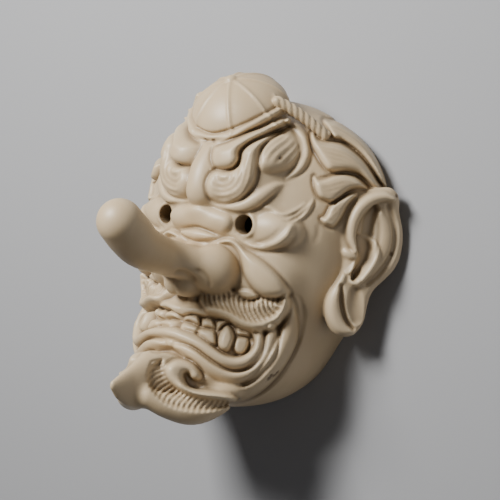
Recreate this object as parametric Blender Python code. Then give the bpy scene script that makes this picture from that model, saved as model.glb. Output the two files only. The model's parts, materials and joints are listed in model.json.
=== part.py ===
"""A tengu mask carved in one piece of pale wood, lying on the rim of its open back.

Metres, +Z up.  X runs to the wearer's left, Y from the chin to the cap and Z out of the face.  The
carving is worked out in parts of the mask's height, 240 to the height, about the point midway
between the pupils.  Marks with two coordinates lie on the drawing of the mask, a view from the
upper left of the face, and are laid from there on the wood.  Only the left half is worked out and
the right half is its mirror image.
"""
import math
from dataclasses import dataclass
from enum import Enum

import bmesh
import bpy
import numpy as np
import openvdb

# Sizes that can be set by themselves, in metres
HEIGHT = 0.240            # the drawing's height, from which the carving takes its proportions
WALL = 0.011              # thickness left between the face and the hollow back
PUPIL_BORE = 0.0128       # diameter of the bores that the wearer looks through
PUPIL_SPACING = 0.069     # between the bores' axes
RIM_BEHIND_EYES = 0.082   # from the pupils back to the plane of the rim

PARTS = 240.0             # parts in the height
GRAIN = 1.6               # step of the grid that the carving is worked out on, in parts
TRIANGLES = 9300          # facets left on the solid

Rows = np.ndarray
Marks = list[tuple[float, ...]]
Window = tuple[slice, slice, slice]

FAR = 60.0                # value of the field away from the wood


class Work(Enum):
    """What a tool does to the wood."""

    ADD = 1
    TAKE = 2


@dataclass(frozen=True)
class Drawing:
    """The drawing of the mask, a view from the upper left of the face.

    Attributes:
        yaw: Turn of the view to the left of the face, in degrees.
        rise: Height of the view above the face, in degrees.
        roll: Turn of the drawing in its own plane, in degrees.
        focal: Focal length, in marks.
        distance: From the eye to the face, in parts.
        pan: Place of the eye across and up, in parts.
        centre: The drawing's centre, in marks.
    """

    yaw: float = 36.5
    rise: float = 2.5
    roll: float = 6.9
    focal: float = 1200.0
    distance: float = 823.0
    pan: tuple[float, float] = (30.0, -21.0)
    centre: float = 250.0

    def axes(self) -> tuple[Rows, Rows, Rows]:
        """Directions to the drawing's right, up it and out of it to the eye."""
        yaw, rise, roll = np.radians([self.yaw, self.rise, self.roll])
        toward = np.array([math.sin(yaw) * math.cos(rise), math.sin(rise), math.cos(yaw) * math.cos(rise)])
        flat = np.array([math.cos(yaw), 0.0, -math.sin(yaw)])
        level = np.cross(toward, flat)
        right = math.cos(roll) * flat + math.sin(roll) * level
        up = -math.sin(roll) * flat + math.cos(roll) * level
        return right, up, toward

    def eye(self) -> Rows:
        """The eye's place, in parts."""
        right, up, toward = self.axes()
        return self.pan[0] * right + self.pan[1] * up + self.distance * toward

    def sight(self, marks: Rows) -> Rows:
        """Unit directions from the eye through marks (u, v)."""
        right, up, toward = self.axes()
        across = (marks[:, :1] - self.centre) * right - (marks[:, 1:2] - self.centre) * up
        d = across / self.focal - toward
        return d / np.linalg.norm(d, axis=1)[:, None]

    def project(self, points: Rows) -> tuple[Rows, Rows, Rows]:
        """The marks u and v of points, and their depths below the eye."""
        right, up, toward = self.axes()
        back = self.eye() - points
        depth = back @ toward
        return self.centre - self.focal * (back @ right) / depth, \
            self.centre + self.focal * (back @ up) / depth, depth


def spline(points: Marks | Rows, steps: int = 5) -> Rows:
    """Rows along a smooth curve through the given rows."""
    p = np.asarray(points, float)
    if len(p) < 3:
        t = np.linspace(0.0, 1.0, steps + 1)[:, None]
        return p[0] * (1.0 - t) + p[-1] * t
    a = np.vstack([2.0 * p[0] - p[1], p, 2.0 * p[-1] - p[-2]])
    return np.vstack([curve(a, steps), p[-1:]])


def ring(points: Marks | Rows, steps: int = 4) -> Rows:
    """Rows along a smooth closed curve through the given rows."""
    p = np.asarray(points, float)
    return curve(np.vstack([p[-1:], p, p[:2]]), steps)


def curve(a: Rows, steps: int) -> Rows:
    """Rows between the second row and the last but one of a list."""
    rows = []
    for i in range(1, len(a) - 2):
        for t in np.arange(steps) / steps:
            rows.append(0.5 * (2.0 * a[i] + (a[i + 1] - a[i - 1]) * t
                               + (2.0 * a[i - 1] - 5.0 * a[i] + 4.0 * a[i + 1] - a[i + 2]) * t * t
                               + (3.0 * a[i] - a[i - 1] - 3.0 * a[i + 1] + a[i + 2]) * t ** 3))
    return np.array(rows)


def along(rows: Rows, share: float) -> Rows:
    """The point at a share of the way along a list of rows."""
    at = share * (len(rows) - 1)
    i = min(int(at), len(rows) - 2)
    return rows[i] + (at - i) * (rows[i + 1] - rows[i])


def inside(outline: Rows, u: Rows, v: Rows) -> Rows:
    """Distances of points to a closed outline, positive inside it."""
    least = np.full(len(u), 1.0e9)
    odd = np.zeros(len(u), bool)
    for a, b in zip(outline, np.roll(outline, -1, 0)):
        e = b[:2] - a[:2]
        t = np.clip(((u - a[0]) * e[0] + (v - a[1]) * e[1]) / max(float(e @ e), 1e-9), 0.0, 1.0)
        least = np.minimum(least, (u - a[0] - t * e[0]) ** 2 + (v - a[1] - t * e[1]) ** 2)
        if e[1] != 0.0:
            odd ^= ((a[1] > v) != (b[1] > v)) & (u < a[0] + (v - a[1]) * e[0] / e[1])
    return np.where(odd, 1.0, -1.0) * np.sqrt(least)


def beside(rows: Rows, u: Rows, v: Rows) -> tuple[Rows, Rows]:
    """Distances of points to a line of rows (u, v, radius) as shares of its radius, and that radius."""
    least = np.full(len(u), 1.0e9)
    radius = np.zeros(len(u))
    for a, b in zip(rows[:-1], rows[1:]):
        e = b[:2] - a[:2]
        t = np.clip(((u - a[0]) * e[0] + (v - a[1]) * e[1]) / max(float(e @ e), 1e-9), 0.0, 1.0)
        r = np.maximum(a[2] + (b[2] - a[2]) * t, 0.05)
        k = np.sqrt((u - a[0] - t * e[0]) ** 2 + (v - a[1] - t * e[1]) ** 2) / r
        radius = np.where(k < least, r, radius)
        least = np.minimum(least, k)
    return least, radius


class Block:
    """The left half of the wood, held as distances to its surface on a grid, in parts."""

    def __init__(self, step: float, low: tuple[float, ...], high: tuple[float, ...]) -> None:
        """Start with no wood between two corners."""
        self.step = step
        self.drawing = Drawing()
        self.low = np.array([-2.0 * step, low[1], low[2]])
        count = np.ceil((np.array(high) - self.low) / step).astype(int) + 1
        self.axis = [self.low[i] + step * np.arange(count[i]) for i in range(3)]
        self.f = np.full(count, FAR, np.float32)

    def window(self, low: Rows, high: Rows) -> Window:
        """Slices of the grid between two corners."""
        cut = []
        for i in range(3):
            a = int(np.clip(np.floor((low[i] - self.low[i]) / self.step), 0, self.f.shape[i]))
            b = int(np.clip(np.ceil((high[i] - self.low[i]) / self.step) + 1, 0, self.f.shape[i]))
            cut.append(slice(a, b))
        return tuple(cut)

    def everywhere(self) -> Window:
        """Slices of the whole grid."""
        return tuple(slice(0, n) for n in self.f.shape)

    def coords(self, cut: Window) -> tuple[Rows, Rows, Rows]:
        """The x, y and z of a window, ready to be combined."""
        x = self.axis[0][cut[0]][:, None, None].astype(np.float32)
        y = self.axis[1][cut[1]][None, :, None].astype(np.float32)
        z = self.axis[2][cut[2]][None, None, :].astype(np.float32)
        return x, y, z

    def apply(self, cut: Window, g: Rows, blend: float, work: Work = Work.ADD) -> None:
        """Add the shape g to the wood, or take it away, with a fillet of the blend's size."""
        f = self.f[cut]
        if work is Work.ADD:
            h = np.maximum(blend - np.abs(f - g), 0.0) / max(blend, 1e-6)
            self.f[cut] = np.minimum(f, g) - h * h * blend * 0.25
        else:
            h = np.maximum(blend - np.abs(f + g), 0.0) / max(blend, 1e-6)
            self.f[cut] = np.maximum(f, -g) + h * h * blend * 0.25

    def ball_field(self, cut: Window, centre: Rows, radii: Rows, frame: Rows | None = None) -> Rows:
        """Distances to an ellipsoid, turned by the rows of a frame."""
        x, y, z = self.coords(cut)
        d = [x - centre[0], y - centre[1], z - centre[2]]
        if frame is not None:
            d = [row[0] * d[0] + row[1] * d[1] + row[2] * d[2] for row in frame]
        k0 = np.sqrt(sum((d[i] / radii[i]) ** 2 for i in range(3)))
        k1 = np.sqrt(sum((d[i] / radii[i] ** 2) ** 2 for i in range(3)))
        return k0 * (k0 - 1.0) / np.maximum(k1, 1e-6)

    def ball(self, centre: Rows, radii: Rows, blend: float = 4.0, frame: Rows | None = None,
             work: Work = Work.ADD) -> None:
        """An ellipsoid of wood, or one taken away."""
        reach = max(radii) + 3.0 * blend + 6.0
        cut = self.window(np.array(centre) - reach, np.array(centre) + reach)
        self.apply(cut, self.ball_field(cut, centre, radii, frame), blend, work)

    def tube_field(self, rows: Rows, reach: float) -> tuple[Window, Rows]:
        """Distances to a rod through rows (x, y, z, radius), with the window that they fill."""
        p = np.asarray(rows, float)
        m = p[:, 3].max() + reach
        cut = self.window(p[:, :3].min(0) - m, p[:, :3].max(0) + m)
        g = np.full(tuple(c.stop - c.start for c in cut), FAR, np.float32)
        for a, b in zip(p[:-1], p[1:]):
            m = max(a[3], b[3]) + reach
            w = self.window(np.minimum(a[:3], b[:3]) - m, np.maximum(a[:3], b[:3]) + m)
            if any(c.stop <= c.start for c in w):
                continue
            x, y, z = self.coords(w)
            e = b[:3] - a[:3]
            t = ((x - a[0]) * e[0] + (y - a[1]) * e[1] + (z - a[2]) * e[2]) / max(float(e @ e), 1e-9)
            t = np.clip(t, 0.0, 1.0)
            d = np.sqrt((x - a[0] - t * e[0]) ** 2 + (y - a[1] - t * e[1]) ** 2
                        + (z - a[2] - t * e[2]) ** 2)
            d -= a[3] + (b[3] - a[3]) * t
            at = tuple(slice(w[j].start - cut[j].start, w[j].stop - cut[j].start) for j in range(3))
            g[at] = np.minimum(g[at], d)
        return cut, g

    def tube(self, rows: Marks | Rows, blend: float = 2.0, work: Work = Work.ADD) -> None:
        """A rod of wood through rows (x, y, z, radius), or one taken away."""
        cut, g = self.tube_field(spline(rows), 3.0 * blend + 4.0)
        self.apply(cut, g, blend, work)

    def groove(self, rows: Rows, width: float, depth: float) -> None:
        """A cut with a round-shouldered V section along rows (x, y, z), fading out at its ends."""
        p = rows
        share = np.linspace(0.0, 1.0, len(p))
        fade = np.clip(4.5 * np.minimum(share, 1.0 - share), 0.12, 1.0)
        reach = 1.9 * width
        cut, g = self.tube_field(np.column_stack([p[:, :3], reach * fade]), 0.5)
        self.f[cut] += (depth * np.clip(-g / reach, 0.0, 1.0) ** 1.35).astype(np.float32)

    def sample(self, p: Rows) -> Rows:
        """The field at any points, the right half read as the left."""
        p = np.concatenate([np.abs(p[..., :1]), p[..., 1:]], -1)
        c = (p - self.low) / self.step
        last = np.array(self.f.shape) - 1.001
        held = np.all((c >= 0) & (c <= last), -1)
        c = np.clip(c, 0, last)
        i = c.astype(int)
        r = c - i
        value = 0.0
        for a in (0, 1):
            for b in (0, 1):
                for d in (0, 1):
                    share = (np.where(a, r[..., 0], 1 - r[..., 0]) * np.where(b, r[..., 1], 1 - r[..., 1])
                             * np.where(d, r[..., 2], 1 - r[..., 2]))
                    value = value + share * self.f[i[..., 0] + a, i[..., 1] + b, i[..., 2] + d]
        return np.where(held, value, FAR)

    def lay(self, marks: Marks | Rows, level: float = 0.0) -> Rows:
        """Marks (u, v, ...) of the drawing laid on the wood, or at a level in it: rows (x, y, z, ...)."""
        m = np.asarray(marks, float)
        eye, d = self.drawing.eye(), self.drawing.sight(m)
        t = np.arange(600.0, 1040.0, 0.8)
        v = self.sample(eye + d[:, None, :] * t[None, :, None]) - level
        hit = v <= 0
        first = np.where(hit.any(1), hit.argmax(1), v.argmin(1))
        rows = []
        for i, j in enumerate(first):
            q = t[j]
            if j > 0 and v[i, j] <= 0 < v[i, j - 1]:
                q = t[j - 1] + 0.8 * v[i, j - 1] / (v[i, j - 1] - v[i, j])
            rows.append(eye + d[i] * q)
        return np.column_stack([np.array(rows), m[:, 2:]])

    def skin(self, marks: Rows, reach: float, deep: float) -> tuple[Window, tuple, Rows, Rows, Rows]:
        """The grid's points near the wood's surface about marks.

        Args:
            marks: Marks (u, v, ...) that the work covers.
            reach: How far from the surface a point may lie.
            deep: How far in depth it may lie from a plane through the laid marks.

        Returns:
            The window, the points' places in it, their marks u and v and the parts in one mark.
        """
        rows = self.lay(marks[:, :2])
        margin = reach + 4.0
        cut = self.window(rows.min(0) - margin, rows.max(0) + margin)
        near = np.nonzero(np.abs(self.f[cut]) < reach)
        p = np.column_stack([self.axis[i][cut[i]][near[i]] for i in range(3)])
        u, v, depth = self.drawing.project(p)
        below = self.drawing.project(rows)[2]
        flat = np.column_stack([marks[:, :2], np.ones(len(marks))])
        held = np.ones(len(marks), bool)
        for _ in range(3):
            plane = np.linalg.lstsq(flat[held], below[held], rcond=None)[0]
            off = np.abs(flat @ plane - below)
            held = off <= max(2.0 * float(np.median(off)), 3.0)
        keep = np.abs(depth - plane[0] * u - plane[1] * v - plane[2]) < deep
        near = tuple(n[keep] for n in near)
        return cut, near, u[keep], v[keep], depth[keep] / self.drawing.focal

    def emboss(self, outline: Marks, height: float, shoulder: float, crease: float = 0.0,
               margin: float = 3.0, deep: float = 22.0) -> None:
        """Raise the wood inside an outline in a rounded cushion, or sink it.

        Args:
            outline: Marks (u, v) of a closed outline.
            height: How far the wood rises, below 0 where it sinks.
            shoulder: Width of the cushion's rounded edge, in marks.
            crease: Depth of the cut at the outline's foot.
            margin: Width of that cut, in marks.
            deep: How far in depth the work may lie from the laid outline.
        """
        m = ring(outline)
        cut, near, u, v, _ = self.skin(m, abs(height) + crease + 4.0, deep)
        d = inside(m, u, v)
        change = height * (1.0 - (1.0 - np.clip(d / shoulder, 0.0, 1.0)) ** 2.2)
        change -= crease * np.clip(1.0 - np.abs(d) / margin, 0.0, 1.0)
        self.f[cut][near] -= change.astype(np.float32)

    def roll(self, marks: Marks, share: float = 0.7, crease: float = 0.0, margin: float = 3.0,
             deep: float = 22.0) -> None:
        """Raise a rounded roll along a line.

        Args:
            marks: Marks (u, v, radius) along the line.
            share: The roll's height as a share of its radius.
            crease: Depth of the cut along its foot.
            margin: Width of that cut, in marks.
            deep: How far in depth the work may lie from the laid line.
        """
        m = spline(marks)
        cut, near, u, v, scale = self.skin(m, abs(share) * m[:, 2].max() + crease + 4.0, deep)
        k, radius = beside(m, u, v)
        change = share * radius * scale * (1.0 - np.clip(k, 0.0, 1.0) ** 2) ** 0.85
        change -= crease * np.clip(1.0 - np.abs(k - 1.0) * radius / margin, 0.0, 1.0)
        self.f[cut][near] -= change.astype(np.float32)

    def line(self, marks: Marks | Rows, width: float = 1.0, depth: float = 1.2) -> None:
        """A cut line through marks (u, v)."""
        self.groove(self.lay(spline(marks, 5)), width, depth)

    def strands(self, first: Marks, last: Marks, count: int, width: float, depth: float,
                ends: bool = False) -> None:
        """Cut lines between two edges, with or without lines on the edges."""
        first, last = np.array(first, float), np.array(last, float)
        shares = np.linspace(0.0, 1.0, count) if ends else (np.arange(count) + 0.5) / count
        for k in shares:
            self.line(first * (1.0 - k) + last * k, width, depth)

    def comb(self, top: Marks, low: Marks, count: int, bow: Marks, half: float, depth: float,
             deep: float = 13.0) -> None:
        """Flute the wood from one edge to another.

        Args:
            top: Marks (u, v) of the edge where the flutes start.
            low: Marks (u, v) of the edge where they end.
            count: How many flutes there are.
            bow: How far the first and the last flute are bowed aside, in marks.
            half: Half a flute's width at its start, in marks.
            depth: Depth of the flutes.
            deep: How far in depth the work may lie from the laid flutes.
        """
        top, low = spline(top, 6), spline(low, 6)
        flutes = []
        for k in np.linspace(0.0, 1.0, count):
            a, c = along(top, k), along(low, k)
            m = 0.5 * (a + c) + np.array(bow[0]) * (1.0 - k) + np.array(bow[1]) * k
            rows = spline([a, m, c], 4)
            flutes.append(np.column_stack([rows, half * np.linspace(1.0, 0.4, len(rows))]))
        cut, near, u, v, _ = self.skin(np.vstack(flutes), depth + 4.0, deep)
        share = np.zeros(len(u))
        for rows in flutes:
            share = np.maximum(share, 1.0 - np.clip(beside(rows, u, v)[0], 0.0, 1.0))
        self.f[cut][near] += (depth * share ** 1.15).astype(np.float32)

    def soften(self) -> None:
        """Take the grid's own roughness off the wood."""
        for axis in range(3):
            f = np.moveaxis(self.f, axis, 0)
            f[1:-1] = 0.25 * f[:-2] + 0.5 * f[1:-1] + 0.25 * f[2:]

    def openness(self, points: Rows, reach: float) -> Rows:
        """How far the wood's surface stands out of its surroundings at points, in parts."""
        total = 0.0
        for axis in range(3):
            for side in (-1.0, 1.0):
                shift = np.zeros(3)
                shift[axis] = side * reach
                total = total + self.sample(points + shift)
        return total / 6.0


@dataclass(frozen=True)
class Head:
    """The skull, the hair over it, the muzzle, a cheek and the brow block."""

    middle: tuple[float, float, float] = (0.0, 0.0, -66.0)
    half_width: float = 87.0
    above: float = 91.5
    below: float = 124.0
    front: float = 74.0

    def carve(self, b: Block) -> None:
        """Rough the head out."""
        cut = b.everywhere()
        x, y, z = b.coords(cut)
        z = np.maximum(z, self.middle[2])
        tall = np.where(y > 0.0, self.above, self.below)
        k = np.sqrt((x / self.half_width) ** 2 + (y / tall) ** 2
                    + ((z - self.middle[2]) / self.front) ** 2)
        slope = np.sqrt((x / self.half_width ** 2) ** 2 + (y / tall ** 2) ** 2
                        + ((z - self.middle[2]) / self.front ** 2) ** 2)
        b.f = np.minimum(b.f, k * (k - 1.0) / np.maximum(slope, 1e-6)).astype(np.float32)
        b.ball((0, 20, -72), (95, 67, 66), 6)
        b.ball((0, 38 - self.below, -42), (66, 45, 66), 14)
        b.ball((38, -34, -22), (26, 24, 22), 10)
        b.ball((22, 24, -12), (26, 22, 20), 8)
        b.ball((17, 42, -15), (31, 25, 25), 8)
        b.ball((10, -62, -8), (24, 14, 22), 8)

    def hollow(self, b: Block, wall: float) -> None:
        """Hollow the back, a wall's thickness behind the head and the muzzle."""
        cut = b.everywhere()
        x, y, z = b.coords(cut)
        z = np.maximum(z, self.middle[2])
        tall = np.where(y > 0.0, self.above - 2.0 - wall, self.below - wall)
        g = np.sqrt((x / (self.half_width - wall)) ** 2 + (y / tall) ** 2
                    + ((z - self.middle[2]) / (self.front - wall)) ** 2)
        g = (g - 1.0) * 60.0
        m = b.ball_field(cut, (0, 40 - self.below, -42), (59 - wall, 41 - wall, 55 - wall))
        h = np.maximum(8.0 - np.abs(g - m), 0.0) / 8.0
        b.apply(cut, np.minimum(g, m) - 2.0 * h * h, 0.0, Work.TAKE)


@dataclass(frozen=True)
class Bridge:
    """The column between the brows, the lump under it and the leaf-shaped fold above the nose."""

    column: tuple = ((0, 47, -3, 9), (0, 41, 2, 10.5), (0, 30, 6.4, 11.4), (0, 20.5, 7.2, 12),
                     (0, 18, 5.6, 11))

    def carve(self, b: Block) -> None:
        """Carve the column, then the folds across the bridge."""
        b.tube(self.column, 6)
        b.roll([(178, 213, 7), (186, 214.5, 9), (200, 216.5, 10.5), (213, 219.5, 11.5),
                (222, 222.5, 11)], 0.62)
        b.roll([(168, 232.5, 4), (180, 233.5, 6.5), (196, 234.6, 6.5), (209, 236.5, 4.4),
                (220, 237.5, 1.2)], 0.9, 0.4, 2.0)
        b.line([(176, 227), (187, 226), (197, 227), (206, 229.6), (214, 233.6), (221, 236.6),
                (229, 236.8), (235, 238)], 1.2, 2.2)
        b.line([(174, 240), (190, 241.8), (204, 240.8), (213, 238.6), (222, 237.5), (230, 236.8)], 1.0,
               1.2)


@dataclass(frozen=True)
class Nose:
    """The long nose with its club end, and its wings."""

    shaft: tuple = ((0, -30, -8, 12.4), (0, -29.6, 10, 11.8), (0, -27.8, 32, 11.8), (0, -21.8, 61, 14.2),
                    (0, -14, 75, 15.2), (0, -6.3, 86, 14.8))
    flank: tuple = ((3, -28.6, 32, 10.6), (10, -30.2, 22, 10.8), (16, -31.6, 13, 11.6))
    wing: tuple = (19.0, -32.5, 8.0)
    lobe: tuple = ((4, -44, 18, 9.2), (5, -43, 8, 10), (7, -41, -4, 10.5))

    def carve(self, b: Block) -> None:
        """Carve the nose over the finished face."""
        b.tube(self.shaft, 4)
        b.tube(self.flank, 5)
        b.ball(self.wing, (16.0, 17.0, 16.0), 4)
        b.tube(self.lobe, 3)
        b.line([(172, 274.5), (179, 272.6), (186, 274), (191, 278), (196, 282)], 2.0, 4.2)
        b.line([(212, 245.5), (222, 244.5), (231, 249.5), (238, 259), (241, 271), (239, 282),
                (233, 290.5), (225, 296.5)], 1.2, 1.6)
        b.line([(190, 270.5), (197, 270.5), (203.5, 273.5), (208, 279), (209.6, 286), (208.6, 293)],
               1.1, 2.2)


@dataclass(frozen=True)
class Cap:
    """The little panelled cap: a ribbed dome with a button, on a band of rolls."""

    seat: tuple[float, float, float] = (0.0, 78.5, -22.5)
    tilt: float = 37.0
    radius: float = 34.8
    rise: float = 23.8
    ribs: tuple[float, ...] = (26.0, 71.0, 116.0, 161.0)

    def carve(self, b: Block) -> None:
        """Carve the dome, its ribs and its band."""
        lean = math.radians(self.tilt)
        up = np.array([0.0, math.cos(lean), math.sin(lean)])
        front = np.array([0.0, -math.sin(lean), math.cos(lean)])
        frame = np.array([[1.0, 0.0, 0.0], up, front])
        cut = b.window((-9, 30, -90), (60, 112, 30))
        x, y, z = b.coords(cut)
        high = up[1] * (y - self.seat[1]) + up[2] * (z - self.seat[2]) + 0 * x
        ahead = front[1] * (y - self.seat[1]) + front[2] * (z - self.seat[2]) + 0 * x
        angle = np.degrees(np.arctan2(x + 0 * ahead, ahead))
        out = np.sqrt(x * x + ahead * ahead)
        k = (np.abs(out / self.radius) ** 1.75 + np.abs(high / self.rise) ** 1.75) ** (1.0 / 1.75)
        dome = (k - 1.0) * self.rise * 0.95
        rib = np.zeros_like(dome)
        for a in self.ribs:
            rib = np.maximum(rib, np.exp(-(np.radians(angle - a) * out / 0.9) ** 2))
        dome = dome - 1.1 * rib * np.clip(out / 8, 0, 1)
        b.apply(cut, np.maximum(dome, -high - 1.0), 0.8)
        for level, thick in ((-3.0, 2.9), (-7.4, 2.1)):
            band = np.sqrt((out - self.radius + 0.8 * thick) ** 2 + (high - level) ** 2) - thick
            b.apply(cut, band, 0.5)
        b.apply(cut, np.maximum(out - self.radius + 2.5, np.abs(high + 5) - 6), 1.0)
        b.ball(np.array(self.seat) + up * (self.rise + 0.2), (4.2, 2.4, 4.2), 0.8, frame)
        b.roll([(190, 112, 3), (191.4, 118, 3.4), (195, 127, 3.8), (202, 134.6, 4), (211, 137.6, 4),
                (221, 136.6, 4), (233, 133, 4), (248, 126.6, 4), (263, 119, 4), (277, 111.6, 3.8),
                (285, 106.6, 3)], 0.8, 1.2, 2.0)
        b.line([(194.6, 124), (200, 129.6), (207, 132.4), (215, 133.4), (225, 131.8), (236, 128.4),
                (250, 121.8), (265, 113.8), (279, 106)], 1.0, 1.8)


@dataclass(frozen=True)
class Brow:
    """The tuft under the cap, the ribbon round the brow's flame, the swirl and the lid fold."""

    swirl: tuple = ((289, 126), (283, 129.5), (274, 132.5), (264, 136.5), (255, 140.5), (247, 145.5),
                    (242.5, 151), (240.5, 158), (238, 164), (233, 169), (226, 170), (218, 169),
                    (211, 172.5), (207, 178.5), (205.5, 186), (207, 194), (210.5, 199.5), (217, 203),
                    (227, 204), (236.5, 202), (244, 198), (250.5, 191), (255.5, 183), (258, 173),
                    (259, 162), (260.5, 152), (265, 144.5), (273, 137.5), (281, 132))

    flame: tuple = (((259, 160), (261, 149), (267, 141.4), (278, 134), (288, 127.4)),
                    ((262, 164), (265.4, 153), (272, 145), (282, 138), (291, 130)),
                    ((266, 166.6), (271, 156.4), (279, 148), (288, 141), (294.6, 133.6)),
                    ((273, 167), (279, 159), (287, 151.6), (294, 145), (298, 138)),
                    ((281, 167.4), (287.6, 161), (294, 154), (299, 147), (300.6, 142)),
                    ((288, 168), (294, 162.4), (299.4, 155.4), (302, 149)))

    def carve(self, b: Block) -> None:
        """Carve the brow from the forehead outwards."""
        b.roll([(212, 202, 2), (221, 205, 5), (233, 207, 7), (245, 205.5, 8), (256, 200, 8),
                (266, 193, 7), (275, 187, 5), (283, 184, 2)], 0.62)
        b.line([(214, 203.5), (222, 208.6), (232, 212.6), (242, 213.4), (252, 211), (261, 206.4),
                (269, 200.4), (276, 195), (283, 192)], 1.3, 2.4)
        b.roll([(286, 179, 1.5), (296, 172, 4), (303, 163, 5.4), (306, 152, 5.6), (304, 140, 5.6),
                (298, 129, 5.6), (290, 121, 5)], 0.75, 0.8)
        b.emboss([(214, 147), (211.5, 153), (211.5, 161), (214.5, 167), (220, 170), (228, 170),
                  (235, 167), (239.5, 160), (239.5, 152.5), (243, 147.5), (252, 141.5), (264, 136),
                  (275, 132), (284, 129), (292, 124), (292, 117.5), (287, 115), (278, 118), (264, 125),
                  (250, 131.5), (236, 138), (226, 142.5), (219, 144.5)], 6.0, 10.0, 1.4)
        b.roll([(213, 149, 1), (216, 144, 1.8), (223, 140.5, 2), (233, 136.8, 2.1), (247, 130.8, 2.2),
                (262, 123.8, 2.2), (276, 116.8, 2.2), (286, 111.5, 2)], 0.9)
        b.emboss([(289, 125.5), (295, 130.5), (300.5, 138.5), (303, 147), (302, 157), (296, 166),
                  (284, 172), (268, 174), (256, 168), (257, 156), (261, 147), (268, 139.5), (278, 132)],
                 4.6, 13.0)
        b.line([(290, 127), (295.6, 131.6), (300.8, 139), (303, 147.5), (302, 157), (296, 166)], 1.1, 1.8)
        for strand in self.flame:
            b.line(strand, 1.0, 1.7)
        b.emboss(self.swirl, 5.6, 10.0, 1.6, 3.0)
        b.line([(229, 169.6), (230, 174), (228, 179), (222.4, 181.6), (217, 179.6), (216.4, 175.6),
                (220, 173)], 1.3, 3.4)
        b.line([(212.4, 176), (212, 181), (216, 185.8), (223, 187), (230.4, 183.6), (235.6, 175.6),
                (239, 165.6), (241.4, 156)], 1.2, 2.6)
        b.line([(208.6, 182), (212, 189.6), (221, 192), (231, 189.4), (238.4, 182), (242, 171),
                (244.6, 160), (250, 150), (260, 141)], 1.0, 1.8)
        b.line([(209, 190), (214, 196.4), (223, 198.4), (233.4, 195.6), (241.6, 188.6), (246, 177.6),
                (248, 166), (251, 155.6), (257.6, 147), (270, 137.6)], 1.0, 1.6)
        b.line([(234, 199.4), (243.6, 192.4), (250, 182), (252.6, 170), (254, 159), (258, 150),
                (267, 141), (279, 133)], 1.0, 1.8)
        b.line([(240, 198.6), (248.6, 190), (254.4, 179.4), (256.4, 168), (257.6, 157), (261, 148.6)],
               0.9, 1.4)


@dataclass(frozen=True)
class Eye:
    """The eyeball with the raised ring about its bore, its lids, the crow's feet and the bag below."""

    ball: tuple[float, float, float] = (43.0, -1.0, -18.6)
    ring_radius: float = 8.8
    ring_level: float = 2.8

    def carve(self, b: Block, spacing: float) -> None:
        """Carve the eye, its ring about the axis of the pupil's bore."""
        b.ball(self.ball, (26, 17, 19.6), 0.8)
        cut = b.window((18, -18, -20), (52, 18, 14))
        x, y, z = b.coords(cut)
        out = np.sqrt((x - 0.5 * spacing) ** 2 + y ** 2)
        disc = np.maximum(out - self.ring_radius, np.abs(z + 8.0) - 8.0 - self.ring_level + 0.08 * out)
        b.apply(cut, disc + 0.0 * z, 1.6)
        b.roll([(238, 239, 1), (246, 244, 2.6), (256, 247, 3.6), (267, 247, 4.2), (278, 243, 5),
                (287, 235.5, 5.4), (291.5, 227, 4)], 0.8)
        b.line([(247, 243.6), (254, 243.2), (263, 241), (271, 237), (279, 230), (285, 221.5)], 0.9, 1.3)
        b.line([(234, 234.5), (240, 241), (247, 246.8), (255, 250.3), (265, 251.5), (277, 251.2),
                (287, 247.5), (293.5, 241), (297, 233), (298, 226)], 1.2, 2.0)
        b.roll([(256, 206.5, 1.2), (265, 206.5, 2.2), (274, 210, 2.6), (281, 213.5, 2.4),
                (288, 213.5, 2.4), (297, 209.5, 2.2), (305, 203.5, 1.6)], 0.8)
        b.roll([(288, 218.6, 1), (296, 215.5, 1.8), (304, 209.5, 2), (310, 203.5, 1.4)], 0.9)
        b.roll([(293, 222, 1), (302, 217, 2.6), (308.5, 210, 2.8), (312.5, 203, 2.2),
                (313.5, 199.5, 1.2)], 0.9)
        b.line([(270, 210), (277, 214.5), (283.5, 217.3), (292, 215.6), (300, 210.5), (308, 203)], 0.8,
               1.4)
        b.line([(280, 217), (286, 221), (296, 218.2), (304, 212.4), (311, 204.5)], 0.9, 1.8)
        b.line([(298, 222), (306, 217.2), (312, 209.5), (315.5, 201.5), (314, 196)], 0.9, 1.6)
        b.line([(294, 225), (292.5, 231), (289.5, 236)], 1.0, 1.2)
        b.line([(318, 222), (318, 234), (313, 246)], 1.6, 0.8)


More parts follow.
